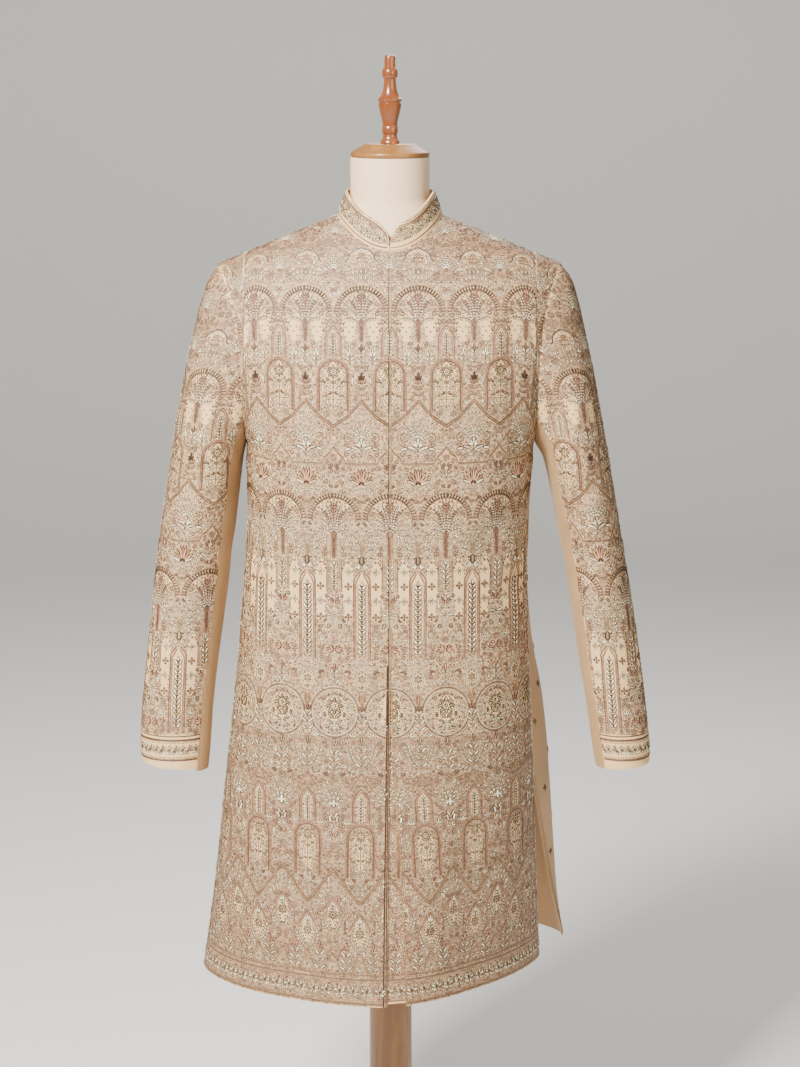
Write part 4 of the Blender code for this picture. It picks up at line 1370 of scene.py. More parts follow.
def lines(made: Motifs, points: list[tuple[float, float]], threads: tuple, gap: float = 1.9) -> None:
    """Sew cords side by side, each a gap below the one before.

    Args:
        made: Where the stitches are added.
        points: Points, the last axis holds their coordinates.
        threads: Threads from the first line to the last.
        gap: Distance between lines in mm.
    """
    for at, thread in enumerate(threads):
        made.cord([(x, y - gap * at) for x, y in points], thread, 0.75)


def medallion(made: Motifs, x: float, y: float, reach: float) -> None:
    """Sew a round medallion with a double ring and a full flower bunch.

    Args:
        made: Where the stitches are added.
        x: Place across, in the units of the drawing.
        y: Place up, in the units of the drawing.
        reach: Radius in mm.
    """
    made.cord(ring(x, y, reach, reach * 1.02, 0, 360, 61), Thread.MAUVE, 0.9)
    made.cord(ring(x, y, reach - 2.2, reach * 1.02 - 2.2, 0, 360, 55), Thread.SILK, 0.8)
    flower(made, x, y + 0.28 * reach, 0.6 * reach, 8, Thread.SAGE, Thread.PEARL)
    for turn in range(0, 360, 45):
        way = math.radians(turn + 22.5)
        px, py = x + 0.6 * reach * math.cos(way), y - 0.02 * reach + 0.6 * reach * math.sin(way)
        if turn not in (45, 90):
            flower(made, px, py, 0.3 * reach, 5, Thread.SILK, Thread.DARK)
    for side in (-1.0, 1.0):
        for share, turn in ((0.72, 12.0), (0.5, 30.0), (0.28, 48.0)):
            made.leaf(x, y - share * reach, 90.0 - side * (90.0 - turn), 0.36 * reach, Thread.SAGE)
    for row in range(4):
        low = y - (0.78 - 0.1 * row) * reach
        made.cord([(x - 0.3 * reach, low), (x, low + 4.0), (x + 0.3 * reach, low)], Thread.SILK, 0.6)


def bud(made: Motifs, x: float, low: float, high: float, half: float) -> None:
    """Sew a pointed ring with rays round it and a small bunch inside.

    Args:
        made: Where the stitches are added.
        x: Place across, in the units of the drawing.
        low: Height of the foot in mm.
        high: Height of the top in mm.
        half: Half width in mm.
    """
    middle = 0.5 * (low + high)
    right = curve((x, high), (x + 0.9 * half, high - 0.12 * (high - low)), (x + half, middle), 7)
    right += ring(x, middle, half, middle - low, 0, -90, 9)[1:]
    outline = right + [(2.0 * x - px, py) for px, py in right[-2::-1]]
    made.cord(outline, Thread.SILK, 1.1, 2.0)
    for turn in range(20, 161, 14):
        way = math.radians(turn)
        px, py = x + (half + 1.4) * math.cos(way), middle + 1.0 + (high - middle + 1.4) * math.sin(way)
        made.leaf(px, py, turn, 3.6, Thread.SILK, 1.2)
    flower(made, x, middle + 0.1 * half, 1.15 * half, 6, Thread.SAGE, Thread.PEARL)
    made.leaf(x, low + 0.8, 90, 0.7 * half, Thread.SAGE)


def drop(made: Motifs, x: float, y: float, turn: float, length: float, thread: Thread) -> None:
    """Sew a curled drop: a looped cord with a stitch inside.

    Args:
        made: Where the stitches are added.
        x: Place across, in the units of the drawing.
        y: Place up, in the units of the drawing.
        turn: Angle in degrees, counted from the right.
        length: Length in mm.
        thread: Thread of the leaves or strokes.
    """
    way = math.radians(turn)
    middle = (x + 0.58 * length * math.cos(way), y + 0.58 * length * math.sin(way))
    loop = [(x, y)]
    for share in np.linspace(-140.0, 140.0, 11):
        part = math.radians(turn + 180.0 + 180.0 + share)
        loop.append((middle[0] + 0.3 * length * math.cos(part), middle[1] + 0.3 * length * math.sin(part)))
    made.cord(loop + [(x, y)], thread, 0.8, 2.0)
    made.leaf(x + 0.35 * length * math.cos(way), y + 0.35 * length * math.sin(way), turn, 0.42 * length,
              Thread.SAGE, 0.2 * length)


def border(made: Motifs, low: float, high: float) -> None:
    """Sew a level border: rails with flowers and leaf pairs between them.

    Args:
        made: Where the stitches are added.
        low: Height of the lower rail in mm.
        high: Height of the upper rail in mm.
    """
    for y, thread in ((low, Thread.MAUVE), (low + 1.8, Thread.GOLD), (high, Thread.MAUVE), (high - 1.8, Thread.GOLD)):
        made.cord([(-HALF, y), (HALF, y)], thread, 0.7, 3.0)
    middle = 0.5 * (low + high)
    size = 0.72 * (high - low) - 3.0
    for x in (-HALF + 9.375, -9.375, 9.375, HALF - 9.375):
        flower(made, x, middle, size * 0.62, 5, Thread.SILK, Thread.DARK)
        for side in (-1.0, 1.0):
            bend, goal = (x + side * 3.4, middle + side * 0.5 * size), (x + side * 5.6, middle - side * 2.0)
            branch(made, curve((x - 1.0, middle), bend, goal), 3.4, Thread.SILK, Thread.MAUVE)
    for x in (-HALF, -18.75, 0.0, 18.75):
        for turn in (90.0, 20.0, -30.0, 155.0, 215.0):
            made.leaf(x, middle - 1.0, turn, 0.42 * size, Thread.SAGE if turn > 0 else Thread.SILK, 1.6)
    for step in np.arange(-HALF + 1.5, HALF, 3.75):
        made.stitch(step, high - 4.4, 0.0, 2.2, Thread.MAUVE, 0.8)
        made.stitch(step, low + 4.2, 0.0, 2.2, Thread.MAUVE, 0.8)


class Repeat:
    """One repeat of the coat's all-over pattern, 75 mm wide."""

    seed = 41
    cell = 0.8
    low = 432.0

    def __init__(self) -> None:
        """Draw the tiers from the shoulders to the hem and fill the ground."""
        self.made = Motifs()
        self.bare: list[tuple[float, float, float, float]] = []
        # Zones kept free of the patches of painted shade, so the ground shows lighter there
        self.light = [
            (HALF, 1284.0, 16.0, 32.0), (HALF, 1338.0, 6.0, 18.0), (HALF, 835.0, 22.0, 22.0), (0.0, 880.0, 6.5, 12.0),
            (0.0, 646.0, 12.0, 28.0), (0.0, 704.0, 7.0, 20.0), (0.0, 1400.0, 26.0, 8.0), (HALF, 1120.0, 26.0, 9.0),
            (HALF, 556.0, 9.0, 18.0), (0.0, 532.0, 9.0, 18.0),
        ]
        self.yoke()
        self.chest()
        self.waist()
        self.medallions()
        self.skirt()
        self.rows = np.concatenate([self.made.array(), self.filling()])
        self.rows = self.rows[(self.rows[:, 1] > -HALF - 20.0) & (self.rows[:, 1] < HALF + 36.0)]

    def sides(self, draw: Callable[..., None], *values) -> None:
        """Draw a motif where two repeats meet, once for each repeat.

        Args:
            draw: Function that draws the motif.
        """
        draw(self.made, HALF, *values)

    def yoke(self) -> None:
        """Draw the small ogee arches and trees below the neck and on the shoulders."""
        made = self.made
        for base in (1447.0, 1502.0):
            for inset, thread in ((0.0, Thread.DARK), (2.2, Thread.SILK)):
                half = 17.0 - inset
                left = curve((-half - 4.0, base), (-half, base + 1.0), (-half + 0.5, base + 8.0), 5)
                bend, tip = (-half + 4.0, base + 15.0), (0.0, base + 19.0 - inset)
                left += curve((-half + 0.5, base + 8.0), bend, tip, 6)[1:]
                made.cord(left + [(-x, y) for x, y in left[-2::-1]], thread, 0.75, 2.2)
            flower(made, 0.0, base + 8.0, 8.5, 8, Thread.BLUSH, Thread.DARK)
            for side in (-1.0, 1.0):
                made.leaf(side * 3.0, base + 3.0, 90.0 - side * 60.0, 5.0, Thread.SAGE)
                made.leaf(side * 4.0, base + 8.0, 90.0 - side * 50.0, 4.4, Thread.SILK)
            self.light.append((0.0, base + 9.0, 12.0, 7.0))
        for foot in (1432.0, 1487.0, 1542.0):
            tree = Motifs()
            right = Motifs()
            for turn, reach in ((84.0, 24.0), (66.0, 22.0), (48.0, 20.0), (30.0, 17.0)):
                way = math.radians(turn)
                goal = (reach * math.cos(way), foot + reach * math.sin(way) + 2.0)
                stem = curve((0.4, foot), (0.3 * goal[0], goal[1] - 6.0), goal)
                branch(right, stem, 3.2, Thread.SILK, Thread.MAUVE)
            tree.both(right)
            made.moved(tree, HALF)
        for y, half in ((1421.0, 20.0), (1429.0, 15.0), (1437.0, 9.0)):
            for x in np.arange(-half, half + 0.1, 5.0):
                made.leaf(x, y - 0.012 * x * x, 90.0 - 2.0 * x, 4.6, Thread.SILK, 2.2)
        flower(made, 0.0, 1433.0, 9.5, 8, Thread.SAGE, Thread.SPANGLE)

    def chest(self) -> None:
        """Draw the first arches, trees, lancets, niches and chevrons."""
        made = self.made
        arch(made, 0.0, 1377.0, 1414.0, 37.0)
        fan_tree(made, 0.0, 1339.0, 1364.0, 1404.0, 21.0)
        self.bare += [(15.5, 1352.0, 6.5, 13.0)]
        self.light += [(17.0, 1362.0, 11.0, 18.0)]
        for x, y in ((11.0, 1346.0), (21.0, 1345.0), (11.5, 1358.0), (20.5, 1358.0), (16.0, 1352.0)):
            for side in (-1.0, 1.0):
                made.stitch(side * x, y - 1.3, 90.0, 2.6, Thread.SAGE, 1.0)
                made.stitch(side * x - 1.3, y, 0.0, 2.6, Thread.SAGE, 1.0)
        self.sides(lancet, 1319.0, 1361.0, 10.5)
        for side in (-1.0, 1.0):
            plant(made, side * 15.0, 1306.0, 1331.0, Thread.SILK, Thread.SILK)
        plant(made, 0.0, 1309.0, 1336.0, Thread.SILK, Thread.MAUVE)
        self.sides(niche, 1247.0, 1317.0, 22.0, Thread.SAGE)
        plant(made, 0.0, 1264.0, 1299.0, Thread.BLUSH, Thread.DARK)
        peak = [
            (-HALF, 1229.0), (-20.0, 1241.0), (-5.0, 1257.0), (0.0, 1263.0), (5.0, 1257.0), (20.0, 1241.0),
            (HALF, 1229.0),
        ]
        lines(made, peak, (Thread.MAUVE, Thread.GOLD, Thread.MAUVE))
        for y, half in ((1252.0, 4.0), (1246.0, 9.0), (1240.0, 14.0)):
            for x in np.arange(-half, half + 0.1, 4.5):
                made.leaf(x, y - 2.5 - 0.35 * abs(x), 90.0 - 2.5 * x, 4.6, Thread.SILK, 1.9)
        right = Motifs()
        for turn, reach in ((64.0, 17.0), (42.0, 19.0), (20.0, 20.0)):
            way = math.radians(turn)
            goal = (reach * math.cos(way), 1212.0 + reach * math.sin(way))
            branch(right, curve((0.5, 1207.0), (0.4 * goal[0], goal[1] - 5.0), goal), 4.0, Thread.SILK, Thread.SAGE)
        right.cord(ring(18.0, 1212.0, 5.5, 6.0, -150, 160, 17), Thread.MAUVE, 0.8)
        right.cord(ring(17.0, 1212.5, 3.0, 3.2, -100, 200, 11), Thread.GOLD, 0.6)
        flower(right, 17.0, 1212.5, 4.2, 6, Thread.SAGE, Thread.DARK)
        right.leaf(1.5, 1196.0, 18.0, 13.0, Thread.SILK, 3.2)
        right.leaf(12.0, 1197.5, -6.0, 11.0, Thread.SILK, 3.0)
        right.leaf(1.0, 1199.0, 40.0, 8.0, Thread.SILK, 2.6)
        made.both(right)
        plant(made, 0.0, 1183.0, 1212.0, Thread.SILK, Thread.SILK)
        step = [(-HALF, 1200.0), (-32.0, 1192.0), (-25.0, 1186.0), (-21.0, 1177.0), (21.0, 1177.0), (25.0, 1186.0),
                (32.0, 1192.0), (HALF, 1200.0)]
        lines(made, step, (Thread.MAUVE, Thread.GOLD))
        flower(made, HALF, 1185.0, 9.0, 8, Thread.BLUSH, Thread.SPANGLE)

    def waist(self) -> None:
        """Draw the second arches and trees, the wheat stalks, crosses and rails."""
        made = self.made
        right = Motifs()
        for turn, thread in ((80.0, Thread.BLUSH), (62.0, Thread.GOLD), (44.0, Thread.BLUSH), (26.0, Thread.SILK)):
            right.leaf(0.4, 1147.0, turn, 22.0 - 0.12 * (80.0 - turn), thread, 3.0)
        made.both(right)
        made.leaf(0.0, 1147.0, 90.0, 22.0, Thread.BLUSH, 3.0)
        for x, y in ((-24.0, 1160.0), (24.0, 1160.0), (-14.0, 1141.0), (14.0, 1141.0), (HALF, 1158.0)):
            flower(made, x, y, 9.0, 6, Thread.SILK, Thread.MAUVE)
        self.sides(arch, 1099.0, 1137.0, 37.0)
        self.sides(fan_tree, 1047.0, 1080.0, 1124.0, 21.0)
        foliage = Motifs()
        for turn, reach in ((74.0, 30.0), (52.0, 30.0), (32.0, 26.0), (12.0, 20.0)):
            way = math.radians(turn)
            goal = (reach * 0.74 * math.cos(way), 1056.0 + reach * math.sin(way))
            foliage.cord(curve((0.3, 1050.0), (0.2 * goal[0], goal[1] - 4.0), goal), Thread.SAGE, 0.6)
            flower(foliage, goal[0], goal[1], 8.4, 5, Thread.SILK, Thread.DARK)
            foliage.leaf(0.55 * goal[0], 0.5 * (goal[1] + 1054.0), turn - 30.0, 4.6, Thread.SILK)
            foliage.leaf(0.55 * goal[0], 0.5 * (goal[1] + 1056.0), turn + 40.0, 4.6, Thread.SILK)
        made.both(foliage)
        flower(made, 0.0, 1089.0, 8.4, 5, Thread.SILK, Thread.DARK)
        made.leaf(0.0, 1036.0, 90.0, 14.0, Thread.SAGE, 5.0)
        for side in (-1.0, 1.0):
            for turn in (62.0, 40.0, 18.0):
                made.leaf(side * 0.8, 1033.0, 90.0 - side * (90.0 - turn), 9.0, Thread.SILK, 2.2)
            made.cord([(side * 3.0, 1029.0), (side * 11.0, 1018.0), (side * 11.0, 908.0)], Thread.MAUVE, 0.8, 4.0)
            made.cord([(side * 2.0, 1026.0), (side * 8.6, 1013.0), (side * 8.6, 908.0)], Thread.BLUSH, 0.8, 4.0)
            made.cord([(side * 28.0, 1046.0), (side * 27.0, 1004.0)], Thread.MAUVE, 0.6, 4.0)
            made.cord([(side * 30.0, 1046.0), (side * 29.5, 1004.0)], Thread.GOLD, 0.6, 4.0)
            for at, y in enumerate((1028.0, 1008.0, 988.0, 966.0)):
                cross(made, side * 18.5, y, 9.6, Thread.MAUVE if at % 2 else Thread.SILK)
        stalk(made, 0.0, 914.0, 1010.0, 7.6, Thread.SILK)
        self.sides(stalk, 1003.0, 1039.0, 7.0, Thread.SILK)
        side_bunch = Motifs()
        side_bunch.leaf(0.5, 984.0, 35.0, 9.0, Thread.BLUSH, 2.6)
        side_bunch.leaf(0.5, 984.0, 62.0, 11.0, Thread.MAUVE, 2.6)
        side_bunch.leaf(0.8, 992.0, 40.0, 7.0, Thread.SILK, 2.6)
        drop(side_bunch, 1.2, 962.0, -52.0, 18.0, Thread.SILK)
        side_bunch.leaf(3.0, 968.0, 20.0, 7.0, Thread.SILK, 3.0)
        flower(side_bunch, 14.0, 944.0, 6.6, 5, Thread.SAGE, Thread.DARK)
        flower(side_bunch, 9.0, 932.0, 7.0, 6, Thread.SILK, Thread.MAUVE)
        for turn in (8.0, 32.0, 58.0):
            side_bunch.leaf(0.6, 918.0, turn, 11.0, Thread.BLUSH, 3.2)
        bunch = Motifs()
        bunch.both(side_bunch)
        flower(bunch, 0.0, 969.0, 10.0, 8, Thread.SILK, Thread.DARK)
        flower(bunch, 0.0, 934.0, 9.0, 8, Thread.BLUSH, Thread.DARK)
        made.moved(bunch, HALF)
        self.bare += [
            (18.5, 1012.0, 6.5, 26.0), (18.5, 978.0, 4.5, 16.0), (3.0, 996.0, 6.0, 32.0), (3.0, 950.0, 4.5, 18.0),
        ]
        self.light += [(18.5, 1004.0, 9.0, 46.0)]

    def medallions(self) -> None:
        """Draw the pointed buds, their bands and the round medallions."""
        made = self.made
        bud(made, 0.0, 866.0, 894.0, 8.6)
        for inset, thread in ((0.0, Thread.GOLD), (2.0, Thread.BLUSH), (4.0, Thread.GOLD)):
            for side in (-1.0, 1.0):
                bend, end = (side * (27.0 - inset), 880.0), (side * (9.0 - inset), 868.0 - inset)
                top = curve((side * 28.0, 897.0 - inset), bend, end, 8)
                top += [(side * max(0.3, 4.4 - inset), 862.0 - inset), (side * max(0.3, 4.0 - inset), 850.0 - inset)]
                made.cord(top, thread, 0.9, 2.2)
        self.sides(medallion, 835.0, 33.0)
        for turn in range(35, 146, 11):
            way = math.radians(turn)
            for side in (-1.0, 1.0):
                x = side * (HALF - 36.0 * math.cos(way)) if math.cos(way) > 0 else 0.0
                if x:
                    lean = 90.0 - side * (90.0 - 180.0 + turn)
                    made.leaf(x, 835.0 + 37.0 * math.sin(way), lean, 4.0, Thread.SILK, 1.5)
        self.sides(plant, 872.0, 902.0, Thread.SILK, Thread.BLUSH)
        plant(made, 0.0, 806.0, 848.0, Thread.SILK, Thread.MAUVE)

    def skirt(self) -> None:
        """Draw the lower lancets, niches, chevrons, ogee net and the hem border."""
        made = self.made
        peak = [
            (-HALF, 704.0), (-20.0, 722.0), (-5.0, 745.0), (0.0, 752.0), (5.0, 745.0), (20.0, 722.0), (HALF, 704.0),
        ]
        lines(made, peak[1:-1], (Thread.MAUVE, Thread.GOLD))
        plant(made, 0.0, 756.0, 802.0, Thread.SILK, Thread.SAGE)
        for side in (-1.0, 1.0):
            stem = curve((0.0, 758.0), (side * 14.0, 764.0), (side * 19.0, 792.0))
            branch(made, stem, 5.0, Thread.SILK, Thread.SAGE)
        self.sides(plant, 752.0, 800.0, Thread.SILK, Thread.SAGE)
        lancet(made, 0.0, 684.0, 731.0, 11.5)
        niche(made, 0.0, 609.0, 683.0, 20.5, Thread.SAGE)
        fan = Motifs()
        for turn, reach in ((66.0, 30.0), (44.0, 27.0), (24.0, 24.0)):
            way = math.radians(turn)
            goal = (reach * 0.85 * math.cos(way), 705.0 + reach * math.sin(way))
            branch(fan, curve((0.5, 703.0), (0.4 * goal[0], goal[1] - 5.0), goal), 5.4, Thread.SILK, Thread.SAGE)
        fan.leaf(0.8, 690.0, 60.0, 9.0, Thread.SILK, 3.2)
        fan.leaf(3.0, 682.0, 75.0, 12.0, Thread.SILK, 3.6)
        fan.leaf(1.0, 664.0, 62.0, 9.0, Thread.BLUSH, 3.0)
        flower(fan, 11.0, 648.0, 6.6, 6, Thread.SILK, Thread.DARK)
        both = Motifs()
        both.both(fan)
        flower(both, 0.0, 745.0, 11.0, 8, Thread.SAGE, Thread.DARK)
        flower(both, 0.0, 651.0, 9.0, 8, Thread.SAGE, Thread.DARK)
        both.leaf(0.0, 702.0, 90.0, 15.0, Thread.SILK, 5.0)
        made.moved(both, HALF)
        dip = [(-HALF, 620.0), (-31.0, 614.0), (-15.0, 592.0), (-4.0, 578.0), (0.0, 575.0), (4.0, 578.0), (15.0, 592.0),
               (31.0, 614.0), (HALF, 620.0)]
        lines(made, dip, (Thread.MAUVE, Thread.GOLD, Thread.MAUVE))
        bouquet(made, 0.0, 584.0, 606.0, 10.0, Thread.SILK)
        for y, half in ((607.0, 5.0), (600.0, 10.0), (592.0, 14.0)):
            for x in np.arange(-half, half + 0.1, 5.0):
                made.leaf(HALF + x, y - 3.0 - 0.4 * abs(x), 90.0 - 2.5 * x, 5.2, Thread.SILK, 2.0)
        for x, low, high in ((HALF, 533.0, 582.0), (0.0, 508.0, 560.0)):
            lines(made, pointed(x, low, low + 20.0, high, 17.0), (Thread.MAUVE, Thread.BLUSH))
            flower(made, x, low + 24.0, 12.0, 8, Thread.SAGE, Thread.DARK)
            plant(made, x, low + 28.0, high - 5.0, Thread.SILK, Thread.SILK)
            for side in (-1.0, 1.0):
                branch(made, curve((x, low), (x + side * 12.0, low + 2.0), (x + side * 14.0, low + 22.0)), 4.4,
                       Thread.SILK, Thread.SAGE)
        for x in (0.0, HALF):
            lines(made, pointed(x, 476.0, 480.0, 506.0, 10.0), (Thread.MAUVE, Thread.GOLD))
            flower(made, x, 486.0, 9.0, 8, Thread.SILK, Thread.SPANGLE)
        for x in (-18.75, 18.75):
            plant(made, x, 477.0, 520.0, Thread.SILK, Thread.BLUSH)
        border(made, 437.0, 470.0)
        for y, thread in ((476.0, Thread.MAUVE), (433.0, Thread.GOLD), (429.2, Thread.SILK)):
            made.cord([(-HALF, y), (HALF, y)], thread, 0.7, 3.0)

    def taken(self, rows: np.ndarray) -> tuple[np.ndarray, np.ndarray]:
        """Cells that stitches cover, folded into half a repeat.

        Args:
            rows: Stitches as rows of numbers.

        Returns:
            Column and row of each covered cell.
        """
        shares = np.linspace(0.06, 0.92, 8)
        offsets = np.array([-0.24, 0.0, 0.24])
        centred = np.where(rows[:, 0] == Form.BEAD.value, 0.5, 0.0)
        along = (shares[None, :, None] - centred[:, None, None]) * rows[:, 4, None, None]
        aside = offsets[None, None, :] * rows[:, 5, None, None] + 0.0 * along
        cosine, sine = np.cos(rows[:, 3])[:, None, None], np.sin(rows[:, 3])[:, None, None]
        x = rows[:, 1, None, None] + along * cosine - aside * sine
        y = rows[:, 2, None, None] + along * sine + aside * cosine
        folded = np.abs((x + HALF) % PITCH - HALF)
        column = (folded / self.cell).astype(int)
        level = ((y - 420.0) / self.cell).astype(int)
        return column, level

    @staticmethod
    def shade(chance: float) -> Thread:
        """Choose a thread of the ground's small stitches.

        Args:
            chance: Random number from 0 to 1.

        Returns:
            Chosen thread.
        """
        for limit, thread in ((0.54, Thread.SILK), (0.78, Thread.MAUVE), (0.92, Thread.BLUSH)):
            if chance < limit:
                return thread
        return Thread.SAGE

    def blossom(self, made: Motifs, x: float, y: float, turn: float, scale: float, chance: float) -> None:
        """Draw a small flower.

        Args:
            made: Where the stitches are added.
            x: Place across, in the units of the drawing.
            y: Place up, in the units of the drawing.
            turn: Not used.
            scale: Size factor.
            chance: Random number from 0 to 1.
        """
        flower(made, x, y, 9.0 * scale, 5 if chance < 0.5 else 6, self.shade(chance), Thread.DARK)

    def curl(self, made: Motifs, x: float, y: float, turn: float, scale: float, chance: float) -> None:
        """Draw a curled tendril that ends in a bead.

        Args:
            made: Where the stitches are added.
            x: Place across, in the units of the drawing.
            y: Place up, in the units of the drawing.
            turn: Angle in degrees, counted from the right.
            scale: Size factor.
            chance: Random number from 0 to 1.
        """
        way = -1.0 if chance < 0.5 else 1.0
        turns = np.radians(turn + way * np.linspace(0.0, 380.0, 13))
        reach = np.linspace(3.4, 1.0, 13) * scale
        made.cord([(x + r * math.cos(t), y + r * math.sin(t)) for r, t in zip(reach, turns)],
                  Thread.MAUVE if chance < 0.7 else Thread.BLUSH, 0.8, 1.9)
        made.bead(x, y, 1.3)

    def sprig(self, made: Motifs, x: float, y: float, turn: float, scale: float, chance: float) -> None:
        """Draw three leaves from one point.

        Args:
            made: Where the stitches are added.
            x: Place across, in the units of the drawing.
            y: Place up, in the units of the drawing.
            turn: Angle in degrees, counted from the right.
            scale: Size factor.
            chance: Random number from 0 to 1.
        """
        thread = self.shade(chance)
        for lean, length in ((0.0, 6.2), (46.0, 5.2), (-46.0, 5.2)):
            made.leaf(x, y, turn + lean, length * scale, thread, 2.2 * scale)

    def pair(self, made: Motifs, x: float, y: float, turn: float, scale: float, chance: float) -> None:
        """Draw two leaves from one point.

        Args:
            made: Where the stitches are added.
            x: Place across, in the units of the drawing.
            y: Place up, in the units of the drawing.
            turn: Angle in degrees, counted from the right.
            scale: Size factor.
            chance: Random number from 0 to 1.
        """
        thread = self.shade(chance)
        for lean in (32.0, -32.0):
            made.leaf(x, y, turn + lean, 5.0 * scale, thread, 2.1 * scale)

    def single(self, made: Motifs, x: float, y: float, turn: float, scale: float, chance: float) -> None:
        """Draw one short stitch.

        Args:
            made: Where the stitches are added.
            x: Place across, in the units of the drawing.
            y: Place up, in the units of the drawing.
            turn: Angle in degrees, counted from the right.
            scale: Size factor.
            chance: Random number from 0 to 1.
        """
        made.stitch(x, y, turn + (60.0 if chance < 0.3 else 0.0), 4.4 * scale, self.shade(chance), 1.6 * scale)

    def speck(self, made: Motifs, x: float, y: float, turn: float, scale: float, chance: float) -> None:
        """Draw one small stitch.

        Args:
            made: Where the stitches are added.
            x: Place across, in the units of the drawing.
            y: Place up, in the units of the drawing.
            turn: Angle in degrees, counted from the right.
            scale: Size factor.
            chance: Random number from 0 to 1.
        """
        made.stitch(x, y, turn - (60.0 if chance < 0.4 else 0.0), 2.5 * scale, self.shade(chance), 1.2 * scale)

    def dot(self, made: Motifs, x: float, y: float, turn: float, scale: float, chance: float) -> None:
        """Draw one bead or spangle.

        Args:
            made: Where the stitches are added.
            x: Place across, in the units of the drawing.
            y: Place up, in the units of the drawing.
            turn: Not used.
            scale: Size factor.
            chance: Random number from 0 to 1.
        """
        made.bead(x, y, 1.35 * scale, Thread.PEARL if chance < 0.6 else Thread.SPANGLE)

    def filling(self) -> np.ndarray:
        """Fill the open ground with small leaves, curls and beads, mirrored.

        Returns:
            Stitches as rows of numbers.
        """
        rng = np.random.default_rng(self.seed)
        columns, levels = int(HALF / self.cell) + 2, int(1260.0 / self.cell)
        grid = np.zeros((columns, levels), bool)
        column, level = self.taken(self.made.array())
        good = (column < columns) & (level >= 0) & (level < levels)
        grid[column[good], level[good]] = True
        xs, ys = np.meshgrid(np.arange(columns) * self.cell, 420.0 + np.arange(levels) * self.cell, indexing="ij")
        kept_bare = np.zeros_like(grid)
        for x, y, across, tall in self.bare:
            kept_bare |= np.abs((xs - abs(x)) / across) ** 3 + np.abs((ys - y) / tall) ** 3 < 1.0
        grid |= kept_bare
        # In the light zones stitches still go on, but the patches of painted shade are left out
        for x, y, across, tall in self.light:
            kept_bare |= ((xs - abs(x)) / across) ** 2 + ((ys - y) / tall) ** 2 < 1.0
        made = Motifs()
        # Rows of flat patches over the open ground are painted shade among the dense stitches, a darker copy below 800
        # mm and above 1416 mm
        for y in np.arange(self.low, 1640.0, 2.5):
            net = Thread.LOW_NET if y < 800.0 or y > 1416.0 else Thread.NET
            level = min(levels - 1, int((y + 1.2 - 420.0) / self.cell))
            for block in range(8):
                start = block * HALF / 8.0
                first = int(start / self.cell)
                last = int((start + HALF / 8.0) / self.cell)
                clear = np.flatnonzero(~kept_bare[first:last + 1, level])
                if len(clear):
                    near = max(start, (first + clear[0]) * self.cell)
                    far = min(start + HALF / 8.0, (first + clear[-1] + 1) * self.cell)
                    if far - near > 0.4:
                        made.put(Form.PATCH, near, y + 1.25, 0.0, far - near + 0.05, 2.55, net, PAINTED_SHADE_HEIGHT)
        spots = []
        for unit, tries in ((self.blossom, 700), (self.curl, 1200), (self.sprig, 6000), (self.pair, 6000)):
            across, up = rng.uniform(0.5, HALF - 0.5, tries), rng.uniform(self.low, 1640.0, tries)
            spots += [(unit, float(x), float(y)) for x, y in zip(across, up)]
        for unit, gap in ((self.single, 1.7), (self.single, 1.5), (self.speck, 1.4), (self.dot, 1.5)):
            for y in np.arange(self.low, 1640.0, gap):
                spots += [(unit, float(x + rng.uniform(0.0, gap)), float(y)) for x in np.arange(0.3, HALF - gap, gap)]
        for unit, x, y in spots:
            if grid[min(columns - 1, int(x / self.cell)), min(levels - 1, int((y - 420.0) / self.cell))]:
                continue
            flow = 90.0 + 62.0 * math.sin(x / 4.6 + 1.3 * math.sin(y / 8.0)) + 40.0 * math.sin(y / 5.7 + x / 9.0)
            drawn = Motifs()
            unit(drawn, x, y, flow, float(rng.uniform(0.85, 1.15)), float(rng.random()))
            rows = drawn.array()
            ends = rows[:, 1] + rows[:, 4] * np.cos(rows[:, 3])
            if rows[0, 0] != Form.BEAD.value and (ends.min() < -0.2 or ends.max() > HALF + 0.2):
                continue
            column, level = self.taken(rows)
            level = np.clip(level, 0, levels - 1)
            column = np.clip(column, 0, columns - 1)
            if grid[column, level].any():
                continue
            grid[column, level] = True
            made.moved(drawn, 0.0)
        whole = Motifs()
        whole.both(made)
        return whole.array()


# Finishes

@dataclass(frozen=True)
class ClothFinish:
    """A woven ground: its colours, sheen and the size of its weave."""

    name: str
    light: tuple[float, float, float]
    dark: tuple[float, float, float]
    roughness: float
    sheen: float
    weave: float = 0.00045
    bump: float = 0.35


@dataclass(frozen=True)
class ThreadFinish:
    """A thread or bead: its colour, gloss and how far its tone varies."""

    name: str
    color: tuple[float, float, float]
    roughness: float
    metallic: float = 0.0
    sheen: float = 0.0
    vary: float = 0.2
    # Rise below which a stitch turns near-black: partly outline thread, partly painted shade at its foot
    outline: float = 0.62


@dataclass(frozen=True)
class WoodFinish:
    """A wood: its two grain colours, gloss and clear coat."""

    name: str
    light: tuple[float, float, float]
    dark: tuple[float, float, float]
    roughness: float
    coat: float


